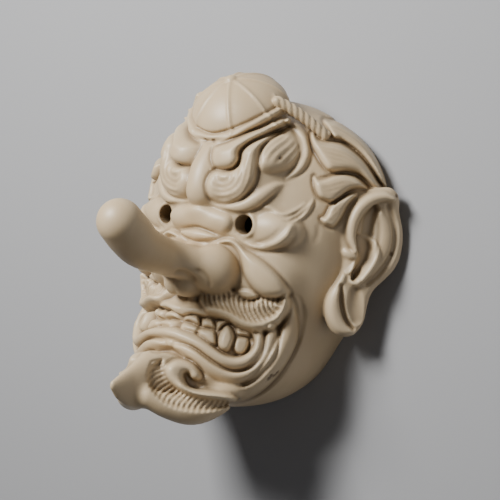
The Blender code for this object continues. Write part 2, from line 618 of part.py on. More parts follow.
@dataclass(frozen=True)
class Cheek:
    """The pouch beside the nose and the three folds that run round the mouth."""

    folds: tuple = (((206, 389, 5), (222, 393, 7.6), (237, 394, 8.4), (250, 389, 8.6), (262, 380, 9),
                     (273, 367, 9.6), (282, 352, 10.4), (288, 337, 10.6), (291, 320, 7.6),
                     (291, 305, 4), (289, 295, 2)),
                    ((176, 346.5, 3), (184, 349, 5), (193, 354.5, 6.4), (202, 362, 7), (212, 370, 7.6),
                     (224, 376.4, 7.6), (236, 378, 7.4), (248, 375, 7.4), (259, 366, 7.6),
                     (268, 354, 7.8), (271.5, 341, 7.6), (272, 330, 6)),
                    ((150, 336, 4), (160, 332.5, 5.4), (172, 333, 5.8), (182, 336.5, 5.6),
                     (191, 340.5, 5.6), (201, 346, 5.8), (212, 354, 6.2), (224, 361.2, 6.4),
                     (236, 364, 6.4), (248, 361, 6.4), (256.6, 353, 6.2), (259.5, 343, 5.4),
                     (259.5, 333, 4.4)))

    def carve(self, b: Block) -> None:
        """Carve the folds from the outermost in, then the pouch."""
        for fold in self.folds:
            b.roll(fold, 0.7, 1.2)
        b.line([(286, 286), (296, 293.5), (301.5, 301), (303.5, 312), (303, 324), (300.5, 336),
                (296, 348), (290, 361), (282, 374), (271, 386), (258, 395), (246, 401), (236, 403)],
               1.4, 2.6)
        b.line([(280.5, 329), (279, 344), (273.5, 357.5), (265, 369), (256, 378), (246, 384.3),
                (235, 386), (222, 383), (211, 378), (204, 373)], 1.2, 2.4)
        b.line([(265, 330), (264.5, 343), (261, 355), (252, 366), (240, 371), (228, 369.5), (214, 361.5),
                (203, 354), (192, 346.5), (183, 343), (174, 344)], 1.2, 2.4)
        b.emboss([(208, 243.5), (217, 240.5), (225, 237.8), (232, 238), (239, 242.5), (246, 249.5),
                  (254, 254), (263, 260), (272, 267.5), (281, 276.5), (288, 286), (291.6, 293.6),
                  (286, 297.6), (276, 299.6), (265, 298), (256.4, 292.4), (249, 284), (243.6, 274),
                  (240.8, 263), (237.4, 252), (231, 245.4), (222, 243.8)], 5.6, 9.0, 1.2)
        b.emboss([(233, 291), (240, 288.5), (249, 289.5), (256, 293), (259, 297), (252, 300),
                  (243, 299.5), (236, 296)], 1.6, 3.0, 0.6)
        b.line([(254, 290.5), (257, 294.5), (260.5, 298)], 0.8, 1.6)


@dataclass(frozen=True)
class Mouth:
    """The bared teeth and the tusk in the mouth's recess, and the moustache over them."""

    opening: tuple = ((158, 303), (167, 307), (175, 311), (183, 314.5), (191, 313), (200, 314.5),
                      (212, 316.5), (222, 318.5), (231, 322.5), (238, 327), (246, 330.5), (253, 334),
                      (255, 341), (253.5, 347), (249, 352.5), (242, 356.8), (234, 358), (225, 356),
                      (217, 351.5), (209, 344.5), (200, 338), (193, 334), (185, 331.5), (177, 328.5),
                      (168, 327), (160, 325.5), (153, 329), (150, 326), (151, 315), (154, 307))
    teeth: tuple = (((183.5, 317), (187, 314.5), (192, 313.8), (197, 315), (200, 318), (200.3, 326),
                     (194, 323.8), (188, 321.2), (183.5, 321.5)),
                    ((201.5, 320), (205.5, 317.8), (211, 318.3), (214.5, 321.5), (216, 329.3),
                     (208, 328), (201.5, 326.5)),
                    ((216, 322.5), (221, 319.8), (228, 321), (231, 324), (225, 325), (220, 329.5),
                     (217.5, 333), (216, 328)),
                    ((236, 328), (242, 330), (249.5, 332.5), (250, 337), (243, 336), (236.5, 335)),
                    ((180.5, 325), (184, 322), (191, 323), (199, 327.4), (197.6, 333.5), (190, 332.2),
                     (184, 330.6), (180, 328.6)),
                    ((198.6, 328.6), (205, 328.4), (213, 329.8), (216, 334), (216.5, 345.5), (210, 344),
                     (203, 339), (197.4, 334.4)),
                    ((235.8, 337.4), (241, 336.6), (248.4, 338.2), (249.4, 344), (246.4, 352),
                     (240.6, 355.2), (234.4, 352), (232.6, 346)),
                    ((250.4, 339.6), (253.8, 340.5), (253.2, 346), (250.4, 350.6), (247.8, 352),
                     (249.6, 345)))
    tusk: tuple = ((217.6, 338), (220.6, 330), (226, 324.6), (231.4, 327), (234.4, 333), (234.8, 340.4),
                   (232.2, 347.4), (228, 352), (222, 351), (217.6, 346))
    flutes: tuple = ((202, 299), (205, 292), (213, 289), (222, 288), (230, 291), (238, 297.4),
                     (248, 301.6), (258, 300.6), (266, 300), (276, 300.4), (284, 300.4), (284.4, 305.6),
                     (279, 313.6), (272, 319), (263, 322.4), (254, 323), (245, 320.6), (236, 316),
                     (226, 311), (216, 308.4), (206, 306))
    moustache: tuple = ((198, 300), (201, 292), (209, 287), (219, 285), (228, 287), (236, 293),
                        (243, 299), (252, 300.6), (260, 298), (270, 299), (280, 298.5), (286, 292.5),
                        (289.8, 297), (291, 304), (289.4, 312), (284.6, 321), (277, 328), (266, 332),
                        (255, 332.4), (245, 330), (236, 326), (228, 321.5), (218, 317.5), (208, 314),
                        (202, 308))

    def carve(self, b: Block) -> None:
        """Sink the mouth, set its teeth and lay the moustache over it."""
        b.emboss(self.opening, -6.5, 3.0)
        for tooth in self.teeth:
            b.emboss(tooth, 4.6, 4.0, 1.2, 1.6, 12.0)
        b.emboss(self.tusk, 7.4, 6.0, 1.2, 1.6, 12.0)
        b.roll([(174, 305, 2.5), (184, 309, 4), (195, 309.5, 4), (206, 311.5, 4)], 0.6)
        b.emboss(self.moustache, 6.6, 8.0, 1.6, deep=13.0)
        b.emboss(self.flutes, -2.8, 4.0, deep=13.0)
        b.comb([(204, 295), (211, 290.6), (219, 289.6), (228, 291.6), (237, 297), (246, 300.4),
                (254, 300), (262, 298.6), (270, 299), (278, 299.5)],
               [(206, 306), (216, 308), (226, 310.5), (236, 315.5), (245, 320.4), (254, 322.6),
                (262, 322), (270, 319), (277, 314), (282, 304)], 16, ((-1.0, 0.0), (-2.8, 1.6)), 2.3,
               3.0)


@dataclass(frozen=True)
class Beard:
    """The beard, keeled like a bow, with its rolled edge, its strands and the comma curl on the chin."""

    keel: tuple = ((-10.0, 40.0, -112.0, 15.0), (0.0, 38.0, -111.0, 17.0), (15.0, 31.0, -110.0, 18.5),
                   (30.0, 21.0, -109.0, 19.5), (42.0, 13.0, -108.5, 19.5), (50.0, 9.0, -111.0, 17.4),
                   (60.0, 5.6, -112.8, 12.8), (70.0, 3.4, -112.6, 7.4), (76.5, 1.4, -111.0, 2.2))

    curl: tuple = ((165, 369), (169, 362.4), (177, 359), (186, 359.4), (194, 362.6), (200.4, 369),
                   (203, 375.6), (201.4, 380.4), (196, 381.6), (190.4, 379), (187.6, 374.4), (185, 375),
                   (186.2, 380.4), (190.2, 385.6), (197, 388.4), (206, 389.6), (216, 391), (228, 393.4),
                   (238, 397.6), (235, 402), (222, 401), (210, 400), (198, 398), (186, 394), (175, 388),
                   (167.6, 380))
    flutes: tuple = ((161.6, 361), (157, 361.4), (151, 366.6), (147.6, 377), (150.6, 389.4),
                     (158, 398.4), (168, 405), (179, 409), (191, 411), (204, 411.6), (217, 410),
                     (231, 405.6), (232, 402.6), (222, 402), (210, 401), (198, 399.2), (186, 395.4),
                     (175, 389.4), (166.4, 380.6), (163.6, 370))

    def carve(self, b: Block) -> None:
        """Carve the keel, the lobes beside it, the curl and the fluted hair under it."""
        k = np.array(self.keel)
        cut = b.window((-9, -150, -12), (60, -70, 84))
        x, y, z = b.coords(cut)
        wide, middle, tall = (np.interp(z, k[:, 0], k[:, i]).astype(np.float32) for i in (1, 2, 3))
        g = (np.sqrt((x / wide) ** 2 + ((y - middle) / tall) ** 2) - 1.0) * np.minimum(wide, tall)
        g = np.maximum(g, z - k[-1, 0])
        b.apply(cut, g, 3.0)
        b.tube([(8, -118, 48, 8), (17, -122, 36, 10.6), (26, -123.5, 23, 12), (34, -119, 10, 10),
                (38, -112, 0, 8)], 4)
        b.emboss(self.curl, 6.4, 8.5, 1.6)
        b.line([(187.5, 374), (187.4, 379), (190.5, 384), (196, 387.6), (204, 389.6)], 1.5, 4.0)
        b.line([(189, 376), (193, 381.4), (199, 383.6), (205, 383)], 1.8, 3.6)
        b.emboss([(150, 351), (155, 347.5), (162, 345.5), (170, 346), (176, 349), (182, 355),
                  (184, 358.5), (176, 356), (167, 353.5), (158, 354)], -4.0, 3.0)
        b.emboss(self.flutes, -3.0, 4.0)
        b.comb([(162, 360.5), (163, 368), (165.5, 377), (171, 385.5), (179, 391.6), (188, 396),
                (198, 399), (210, 400.8), (222, 401.4), (232, 402.5)],
               [(150, 366), (146.5, 378), (150.5, 390), (158, 399), (168, 405.5), (179, 409.4),
                (191, 411.4), (204, 412), (217, 410.4), (231, 405.5)], 21, ((-3.6, -1.6), (-1.6, 2.4)),
               2.1, 2.4)


@dataclass(frozen=True)
class Locks:
    """The flame-shaped locks over the temple, their tips to the front, and the hair behind them."""

    crown: tuple = ((323, 119.5), (329, 120.5), (337, 121), (346, 125.5), (357, 133), (367, 142.5),
                    (375.5, 154), (382.5, 168), (387, 181), (388, 189), (383, 187.5), (378, 179),
                    (370, 166), (362, 155.5), (352, 146.8), (341, 140.6), (333, 138.6), (327, 130))
    temple: tuple = ((312.5, 130), (315, 134), (319, 138.6), (326, 140.6), (334, 141.6), (343, 144),
                     (353, 150), (363, 159), (371, 169.5), (378, 181), (384, 189), (374, 188.5),
                     (366, 181), (357, 174.4), (346, 172), (335, 172.6), (327, 170.6), (321, 163.4),
                     (316, 155), (311.2, 146), (309.8, 138))
    middle: tuple = ((314, 175.4), (318.6, 178.6), (326, 177.6), (334, 174.8), (345, 173.8),
                     (356, 176.4), (364, 182.4), (369, 190), (362, 189), (354, 189.6), (347, 192.6),
                     (340, 198.4), (332, 202.6), (324, 201), (318, 197), (314.4, 189.4), (313, 182))
    low: tuple = ((320.4, 218), (324, 216.6), (327, 212), (330, 206), (336, 201), (344, 196.4),
                  (353, 192.6), (358, 194.4), (353, 200), (347, 208), (343, 216.4), (338, 224),
                  (333, 228), (327, 226.6), (322.4, 223.2))

    def carve(self, b: Block) -> None:
        """Carve the locks from the crown down."""
        b.line([(303, 109), (322, 115), (342, 123), (360, 137), (374, 154), (384, 176)], 1.4, 1.4)
        b.emboss(self.crown, 4.0, 6.0, 1.6)
        b.strands([(325, 121), (338, 122.5), (353, 131), (367, 144.5), (379, 163), (385.5, 183)],
                  [(327, 128.5), (338, 138), (352, 145.5), (364, 156), (376, 174), (383.5, 186)], 4,
                  0.9, 1.2)
        b.emboss(self.temple, 6.4, 9.0, 2.2)
        b.strands([(314, 134), (323, 142), (336, 144), (350, 150.5), (363, 162.5), (378, 184)],
                  [(312.5, 143), (323, 161), (336, 170), (350, 171.5), (363, 178.5), (374, 187)], 6,
                  0.9, 1.3)
        b.emboss(self.low, 4.4, 5.0, 1.6)
        b.strands([(324, 217.6), (331, 210), (340, 202), (351, 195)],
                  [(324.5, 223), (333, 223.6), (341, 213), (351, 200)], 2, 0.8, 0.9)
        b.emboss(self.middle, 5.6, 7.0, 2.2)
        b.strands([(316.5, 180), (326, 181), (338, 177), (351, 177), (364, 185)],
                  [(316.5, 188), (326, 197.5), (338, 196), (350, 189.6), (361, 187.6)], 4, 0.9, 1.3)


@dataclass(frozen=True)
class Ear:
    """The pointed ear with its long lobe, standing out from the side of the head."""

    foot: tuple[float, float, float] = (81.0, 5.0, -43.0)
    face: tuple[float, float, float] = (0.745, 0.0, 0.667)
    thickness: float = 9.0
    outline: tuple = ((337, 228), (341, 214.5), (350, 202), (362, 192.8), (375, 188.6), (389, 187.4),
                      (394.6, 190.4), (398.4, 195), (399.6, 203), (399.4, 212), (401.4, 222),
                      (403, 233), (402.6, 245), (400, 258), (395, 268.4), (389, 275.6), (380, 284),
                      (374, 290), (370, 297), (367.6, 305), (366, 313), (363.6, 322), (358, 331),
                      (350, 336.4), (341, 336.6), (333.4, 332.4), (328.6, 325), (325.6, 315),
                      (325.6, 303), (329.6, 291.6), (337, 281), (342.4, 270), (343, 258), (339.8, 248),
                      (337, 238))
    ridges: tuple = (((379, 213, 3.0), (384, 227, 5.6), (384, 242, 6.6), (379, 256, 6.4),
                      (370, 268, 5.6), (360, 278, 3.6), 2.0),
                     ((353.4, 250, 2.6), (349.4, 236, 5.2), (351.4, 221.6, 6.2), (358.4, 208.4, 6.6),
                      (369.4, 199.6, 6.2), (382, 196.6, 5.0), (391, 199, 3.0), 5.2),
                     ((363, 236, 2.0), (370, 239.6, 3.2), (374.4, 249, 3.6), (372, 261, 3.6),
                      (364.6, 273, 3.6), (356, 282.4, 3.2), (350.4, 281.6, 2.2), (349.4, 276, 1.4),
                      2.8),
                     ((344, 253, 4.4), (351, 255, 4.6), (357.4, 256.6, 3.6), (353.6, 264.6, 3.0),
                      (347.4, 272, 2.0), 2.8),
                     ((341, 275, 4.0), (335, 287, 6.4), (332.4, 302, 7.6), (334.6, 317, 7.6),
                      (342, 328, 6.4), (352, 332, 3.6), 2.6))
    dips: tuple = (((374, 208.6, 4.0), (369, 218, 6.4), (366.6, 230, 7.0), (365.4, 243, 7.6),
                    (361.4, 256, 6.4), (356.4, 268, 4.6), (351.6, 278, 3.0), 4.4),
                   ((357.6, 237, 3.6), (359, 247.4, 4.4), 5.0),
                   ((387, 206, 2.6), (392.6, 222, 3.4), (393.6, 238, 3.6), (391, 252, 3.6),
                    (385, 264, 3.6), (376, 275, 3.4), (366, 284, 2.4), 1.8),
                   ((340, 285, 2.2), (340, 301, 3.2), (344.4, 318, 3.2), (352.4, 329, 2.2), 3.4),
                   ((354, 292, 6.0), (354.6, 306, 8.6), (356.4, 318, 6.6), 2.6))

    def place(self, b: Block, marks: Rows, lift: float = 0.0) -> Rows:
        """Marks (u, v) laid on the ear's own plane: rows (x, y, z)."""
        foot, face, eye = np.array(self.foot), np.array(self.face), b.drawing.eye()
        d = b.drawing.sight(marks)
        t = ((foot + face * lift - eye) @ face) / (d @ face)
        return eye + d * t[:, None]

    def carve(self, b: Block) -> None:
        """Carve the ear's plate, its rim and the relief in it."""
        foot, face = np.array(self.foot), np.array(self.face)
        side = np.cross([0.0, 1.0, 0.0], face)
        cut = b.window((40, -90, -95), (124, 60, 0))
        x, y, z = b.coords(cut)
        x, y, z = np.broadcast_arrays(x, y, z)
        lift = (x - foot[0]) * face[0] + (z - foot[2]) * face[2]
        near = np.nonzero(np.abs(lift) < 16.0)
        p = np.column_stack([x[near], y[near], z[near]]).astype(float)
        s, t = (p - foot) @ side, p[:, 1]
        w = lift[near]
        rim = self.flat(b, ring(self.outline), foot, side)
        d = inside(rim, s, t)
        top = 3.0 * (1.0 - (1.0 - np.clip(d / 5.0, 0.0, 1.0)) ** 2.0)
        for rows, sign in [(r, 1.0) for r in self.ridges] + [(r, -1.0) for r in self.dips]:
            m = spline(rows[:-1])
            q = self.flat(b, m[:, :2], foot, side)
            k, _ = beside(np.column_stack([q, 0.68 * m[:, 2]]), s, t)
            top = top + sign * rows[-1] * np.sqrt(np.clip(1.0 - k * k, 0.0, 1.0))
        g = np.maximum(np.maximum(w - top,
                                  -w - self.thickness + 0.4 * np.clip(4.0 - d, 0.0, 4.0) ** 2 * 0.5),
                       -d)
        plate = np.full(x.shape, FAR, np.float32)
        plate[near] = g
        b.tube(self.rows(b, [(354, 262, 13), (352, 240, 14), (358, 218, 12)], -13.0), 4)
        b.apply(cut, plate, 1.2)

    def flat(self, b: Block, marks: Rows, foot: Rows, side: Rows) -> Rows:
        """Marks laid on the ear's plane, as rows (across, up) in that plane."""
        p = self.place(b, marks)
        return np.column_stack([(p - foot) @ side, p[:, 1]])

    def rows(self, b: Block, marks: Marks, lift: float) -> Rows:
        """Marks (u, v, radius) laid above the ear's plane: rows (x, y, z, radius)."""
        m = np.asarray(marks, float)
        return np.column_stack([self.place(b, m, lift), m[:, 2]])


@dataclass(frozen=True)
class Rope:
    """The cap's twisted rope, lying back over the hair from the ring it is tied to."""

    line: tuple = ((276, 101), (286, 106), (296, 112), (306, 119), (316, 127), (326, 136))
    radius: float = 3.9
    twist: float = 0.42
    strands: int = 3

    def carve(self, b: Block) -> None:
        """Carve the rope's strands about its line."""
        eye = b.drawing.eye()
        laid = b.lay(spline(self.line, 8), 0.6) - eye
        far = np.linalg.norm(laid, axis=1)
        near = np.minimum(far, np.linspace(far[0], far[-1], len(far)))
        rows = eye + laid * (near / far)[:, None]
        b.apply(*b.tube_field(np.column_stack([rows, np.full(len(rows), self.radius - 1.2)]), 3.0), 0.6)
        run = np.concatenate([[0.0], np.cumsum(np.linalg.norm(np.diff(rows, axis=0), axis=1))])
        ahead = np.gradient(rows, axis=0)
        ahead /= np.linalg.norm(ahead, axis=1)[:, None]
        out = b.drawing.axes()[2] - ahead * (ahead @ b.drawing.axes()[2])[:, None]
        out /= np.linalg.norm(out, axis=1)[:, None]
        over = np.cross(ahead, out)
        for k in range(self.strands):
            a = self.twist * run + 2.0 * math.pi * k / self.strands
            turn = out * np.cos(a)[:, None] + over * np.sin(a)[:, None]
            strand = np.column_stack([rows + 0.5 * self.radius * turn,
                                      np.full(len(rows), 0.56 * self.radius)])
            cut, g = b.tube_field(strand, 3.0)
            b.apply(cut, g, 0.2)
        b.ball(b.lay([(273.5, 100)], -1.8)[0], (2.2, 4.2, 3.0), 0.6)


@dataclass(frozen=True)
class Pits:
    """Small pits and nicks that the wood has picked up."""

    marks: tuple = ((268.5, 378.5), (271, 375.5), (274, 375.5), (277, 372.5), (391, 254), (396.5, 196),
                    (335.5, 204), (280, 158.5), (214, 140))
    radius: float = 0.9

    def carve(self, b: Block) -> None:
        """Sink the pits."""
        for p in b.lay(self.marks):
            b.ball(p, (self.radius,) * 3, 0.3, work=Work.TAKE)
        b.ball(b.lay([(336, 121.5)])[0], (2.2, 2.0, 2.2), 0.6, work=Work.TAKE)


def carve(step: float, wall: float, floor: float, spacing: float) -> Block:
    """The whole left half, carved.

    Args:
        step: Step of the grid, in parts.
        wall: Thickness left behind the face, in parts.
        floor: The grid's lowest level, in parts.
        spacing: Between the axes of the pupils' bores, in parts.

    Returns:
        The carved block, without its bores.
    """
    b = Block(step, (0.0, -152.0, floor), (124.0, 112.0, 112.0))
    head = Head()
    head.carve(b)
    Cap().carve(b)
    Cheek().carve(b)
    Bridge().carve(b)
    Brow().carve(b)
    Eye().carve(b, spacing)
    Mouth().carve(b)
    Nose().carve(b)
    Beard().carve(b)
    Locks().carve(b)
    Ear().carve(b)
    b.soften()
    Rope().carve(b)
    Pits().carve(b)
    head.hollow(b, wall)
    return b


def surface(b, unit, floor_z):
    """The mesh of both halves, in metres, with the rim's plane at z = 0."""
    first = int(round(-b.low[0] / b.step))
    whole = np.ascontiguousarray(np.concatenate([b.f[:first:-1], b.f[first:]], 0), np.float32)
    grid = openvdb.FloatGrid(background=FAR)
    grid.copyFromArray(whole)
    grid.transform = openvdb.createLinearTransform(voxelSize=b.step)
    points, triangles, quads = grid.convertToPolygons(isovalue=0.0, adaptivity=0.0)
    corner = np.array([-(whole.shape[0] // 2) * b.step, b.low[1], b.low[2]])
    points = (points + corner) * unit
    points[:, 2] += floor_z
    mesh = bpy.data.meshes.new("carving")
    faces = [tuple(q[::-1]) for q in quads.tolist()] + [tuple(t[::-1]) for t in triangles.tolist()]
    mesh.from_pydata(points.tolist(), [], faces)
    mesh.update()
    return mesh


def main_body_only(mesh):
    """Drop any crumb of wood that the cuts left loose."""
    bm = bmesh.new()
    bm.from_mesh(mesh)
    left = set(bm.verts)
    bodies = []
    while left:
        stack = [left.pop()]
        body = list(stack)
        while stack:
            for edge in stack.pop().link_edges:
                for v in edge.verts:
                    if v in left:
                        left.discard(v)
                        stack.append(v)
                        body.append(v)
        bodies.append(body)
    bodies.sort(key=len)
    loose = [v for body in bodies[:-1] for v in body]
    bmesh.ops.delete(bm, geom=loose, context="VERTS")
    bm.to_mesh(mesh)
    bm.free()


def cutter(name, collection):
    """The last primitive added, kept as a hidden cutter."""
    ob = bpy.context.object
    ob.name = name
    ob.hide_render = True
    ob.display_type = "WIRE"
    for other in list(ob.users_collection):
        other.objects.unlink(ob)
    collection.objects.link(ob)
    return ob


def take_away(ob, tool):
    """A Boolean difference, exact."""
    mod = ob.modifiers.new("cut_" + tool.name, "BOOLEAN")
    mod.operation = "DIFFERENCE"
    mod.object = tool
    mod.solver = "EXACT"


def carved_wood():
    """Pale wood, sanded and left bare."""
    mat = bpy.data.materials.new("pale_carved_wood")
    mat.use_nodes = True
    shader = mat.node_tree.nodes["Principled BSDF"]
    shader.inputs["Base Color"].default_value = (0.52, 0.43, 0.31, 1.0)
    shader.inputs["Roughness"].default_value = 0.5
    shader.inputs["Metallic"].default_value = 0.0
    return mat


def build():
    """The mask and its cutters."""
    for ob in list(bpy.data.objects):
        bpy.data.objects.remove(ob)
    unit = HEIGHT / PARTS
    parts = bpy.data.collections.new("tengu_mask_parts")
    tools = bpy.data.collections.new("cutters")
    for collection in (parts, tools):
        bpy.context.scene.collection.children.link(collection)
    floor = -RIM_BEHIND_EYES / unit
    b = carve(GRAIN, WALL / unit, floor - 3.0 * GRAIN, PUPIL_SPACING / unit)
    mesh = surface(b, unit, RIM_BEHIND_EYES)
    main_body_only(mesh)
    middle = 0.5 * (min(v.co.y for v in mesh.vertices) + max(v.co.y for v in mesh.vertices))
    for v in mesh.vertices:
        v.co.y -= middle
    mask = bpy.data.objects.new("tengu_mask", mesh)
    parts.objects.link(mask)
    mesh.materials.append(carved_wood())
    mesh.shade_smooth()
    mod = mask.modifiers.new("facets", "DECIMATE")
    mod.ratio = min(1.0, TRIANGLES / (2.0 * len(mesh.polygons)))
    mod.use_symmetry = True
    bpy.ops.mesh.primitive_cube_add(size=2.0 * HEIGHT, location=(0.0, 0.0, -HEIGHT))
    take_away(mask, cutter("below_rim", tools))
    for name, side in (("left_pupil", 0.5), ("right_pupil", -0.5)):
        bpy.ops.mesh.primitive_cylinder_add(vertices=32, radius=0.5 * PUPIL_BORE,
                                            depth=1.9 * RIM_BEHIND_EYES, location=(side * PUPIL_SPACING,
                                                                                   -middle,
                                                                                   RIM_BEHIND_EYES))
        take_away(mask, cutter(name, tools))


build()
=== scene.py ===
"""The looks of a tengu mask carved in one piece of pale wood, lying on the rim of its open back.

The carving is worked out in parts of the mask's height, 240 to the height, about the point midway
between the pupils: x to the wearer's left, y from the chin to the cap and z out of the face.  Marks
with two coordinates lie on the drawing of the mask, a view 500 marks square from the upper left of
the face, and are laid from there on the wood.  Only the left half is worked out and the right half
is its mirror image.
"""
import json
import logging
import math
from dataclasses import dataclass, field
from enum import Enum

import bmesh
import bpy
import numpy as np
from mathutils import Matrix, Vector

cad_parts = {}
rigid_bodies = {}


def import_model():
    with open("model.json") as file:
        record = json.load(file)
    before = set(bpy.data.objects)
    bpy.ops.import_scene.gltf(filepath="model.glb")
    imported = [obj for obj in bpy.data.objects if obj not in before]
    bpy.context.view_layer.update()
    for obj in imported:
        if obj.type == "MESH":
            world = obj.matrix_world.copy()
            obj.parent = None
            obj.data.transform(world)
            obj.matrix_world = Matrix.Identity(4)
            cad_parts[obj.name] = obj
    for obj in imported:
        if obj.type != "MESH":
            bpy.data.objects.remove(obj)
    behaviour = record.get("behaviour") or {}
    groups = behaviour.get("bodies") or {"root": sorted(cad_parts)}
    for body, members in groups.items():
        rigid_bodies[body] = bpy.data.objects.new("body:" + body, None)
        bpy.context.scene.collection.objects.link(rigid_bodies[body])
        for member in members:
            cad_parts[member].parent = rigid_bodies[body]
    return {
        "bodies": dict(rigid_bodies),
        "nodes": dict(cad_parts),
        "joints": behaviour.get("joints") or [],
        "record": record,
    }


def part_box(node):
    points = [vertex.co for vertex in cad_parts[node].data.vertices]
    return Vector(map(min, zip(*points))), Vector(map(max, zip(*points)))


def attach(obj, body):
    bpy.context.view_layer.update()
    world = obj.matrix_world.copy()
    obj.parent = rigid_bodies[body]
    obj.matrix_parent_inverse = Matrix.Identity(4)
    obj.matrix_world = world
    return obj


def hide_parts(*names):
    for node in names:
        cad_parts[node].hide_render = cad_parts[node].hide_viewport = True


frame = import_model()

import openvdb
from mathutils import Matrix, Vector

log = logging.getLogger("tengu_mask")

NODE = "tengu_mask"
SLOT = "pale_carved_wood"

Rows = np.ndarray
Marks = list[tuple[float, ...]]
Window = tuple[slice, slice, slice]

FAR = 60.0                      # value of the field away from the wood
PINCH = 0.01                    # least distance of a grid point from the surface, so faces don't pinch
SIGHT_RANGE = (600.0, 1040.0)   # distances from the eye between which the wood lies
SIGHT_STEP = 0.8                # step of the search along a sight line
TURN = 2.0 * math.pi            # a full turn, in radians


class Work(Enum):
    """What a tool does to the wood."""

    ADD = 1
    TAKE = 2


@dataclass(frozen=True)
class Drawing:
    """The drawing of the mask, a view from the upper left of the face.

    Attributes:
        yaw: Turn of the view to the left of the face, in degrees.
        rise: Height of the view above the face, in degrees.
        roll: Turn of the drawing in its own plane, in degrees.
        focal: Focal length, in marks.
        distance: From the eye to the face, in parts.
        pan: Place of the eye across and up, in parts.
        centre: The drawing's centre, in marks.
    """

    yaw: float = 36.5
    rise: float = 2.5
    roll: float = 6.9
    focal: float = 1200.0
    distance: float = 823.0
    pan: tuple[float, float] = (30.0, -21.0)
    centre: float = 250.0

    def axes(self) -> tuple[Rows, Rows, Rows]:
        """Directions to the drawing's right, up it and out of it to the eye.

        Returns:
            Three unit directions, in parts' axes.
        """
        yaw, rise, roll = np.radians([self.yaw, self.rise, self.roll])
        level_share = math.cos(rise)
        toward = np.array([math.sin(yaw) * level_share, math.sin(rise), math.cos(yaw) * level_share])
        flat = np.array([math.cos(yaw), 0.0, -math.sin(yaw)])
        level = np.cross(toward, flat)
        right = math.cos(roll) * flat + math.sin(roll) * level
        up = -math.sin(roll) * flat + math.cos(roll) * level
        return right, up, toward

    def eye(self) -> Rows:
        """The eye's place, in parts."""
        right, up, toward = self.axes()
        return self.pan[0] * right + self.pan[1] * up + self.distance * toward

    def sight(self, marks: Rows) -> Rows:
        """Unit directions from the eye through marks (u, v).

        Args:
            marks: Rows (u, v), in marks.

        Returns:
            One unit direction to a row.
        """
        right, up, toward = self.axes()
        across = (marks[:, :1] - self.centre) * right - (marks[:, 1:2] - self.centre) * up
        d = across / self.focal - toward
        return d / np.linalg.norm(d, axis=1)[:, None]

    def project(self, points: Rows) -> tuple[Rows, Rows, Rows]:
        """The marks u and v of points, and their depths below the eye.

        Args:
            points: Rows (x, y, z), in parts.

        Returns:
            The marks u and v, and the depths, one to a point.
        """
        right, up, toward = self.axes()
        back = self.eye() - points
        depth = back @ toward
        return self.centre - self.focal * (back @ right) / depth, \
            self.centre + self.focal * (back @ up) / depth, depth


def spline(points: Marks | Rows, steps: int = 5) -> Rows:
    """Rows along a smooth curve through the given rows.

    Args:
        points: The rows that the curve goes through, of any length.
        steps: Rows from one given row to the next.

    Returns:
        The curve's rows, the given ones among them.
    """
    p = np.asarray(points, float)
    if len(p) < 3:
        t = np.linspace(0.0, 1.0, steps + 1)[:, None]
        return p[0] * (1.0 - t) + p[-1] * t
    a = np.vstack([2.0 * p[0] - p[1], p, 2.0 * p[-1] - p[-2]])
    return np.vstack([curve(a, steps), p[-1:]])


def ring(points: Marks | Rows, steps: int = 4) -> Rows:
    """Rows along a smooth closed curve through the given rows.

    Args:
        points: The rows that the curve goes through.
        steps: Rows from one given row to the next.

    Returns:
        The closed curve's rows, the first not repeated.
    """
    p = np.asarray(points, float)
    return curve(np.vstack([p[-1:], p, p[:2]]), steps)


def curve(a: Rows, steps: int) -> Rows:
    """Rows between the second row and the last but one of a list.

    Args:
        a: Rows, with one more at each end than the curve reaches.
        steps: Rows from one given row to the next.

    Returns:
        The rows of the curve, without its last point.
    """
    rows = []
    for i in range(1, len(a) - 2):
        for t in np.arange(steps) / steps:
            rows.append(0.5 * (2.0 * a[i] + (a[i + 1] - a[i - 1]) * t
                               + (2.0 * a[i - 1] - 5.0 * a[i] + 4.0 * a[i + 1] - a[i + 2]) * t * t
                               + (3.0 * a[i] - a[i - 1] - 3.0 * a[i + 1] + a[i + 2]) * t ** 3))
    return np.array(rows)


def along(rows: Rows, share: float) -> Rows:
    """The point at a share of the way along a list of rows.

    Args:
        rows: The list, in even steps.
        share: 0 at its start and 1 at its end.

    Returns:
        One row.
    """
    at = share * (len(rows) - 1)
    i = min(int(at), len(rows) - 2)
    return rows[i] + (at - i) * (rows[i + 1] - rows[i])


def inside(outline: Rows, u: Rows, v: Rows) -> Rows:
    """Distances of points to a closed outline, positive inside it.

    Args:
        outline: Rows (u, v) round the outline.
        u: First coordinates of the points.
        v: Second coordinates of the points.

    Returns:
        One distance to a point.
    """
    least = np.full(len(u), 1.0e9)
    odd = np.zeros(len(u), bool)
    for a, b in zip(outline, np.roll(outline, -1, 0)):
        e = b[:2] - a[:2]
        t = np.clip(((u - a[0]) * e[0] + (v - a[1]) * e[1]) / max(float(e @ e), 1e-9), 0.0, 1.0)
        least = np.minimum(least, (u - a[0] - t * e[0]) ** 2 + (v - a[1] - t * e[1]) ** 2)
        if e[1] != 0.0:
            odd ^= ((a[1] > v) != (b[1] > v)) & (u < a[0] + (v - a[1]) * e[0] / e[1])
    return np.where(odd, 1.0, -1.0) * np.sqrt(least)


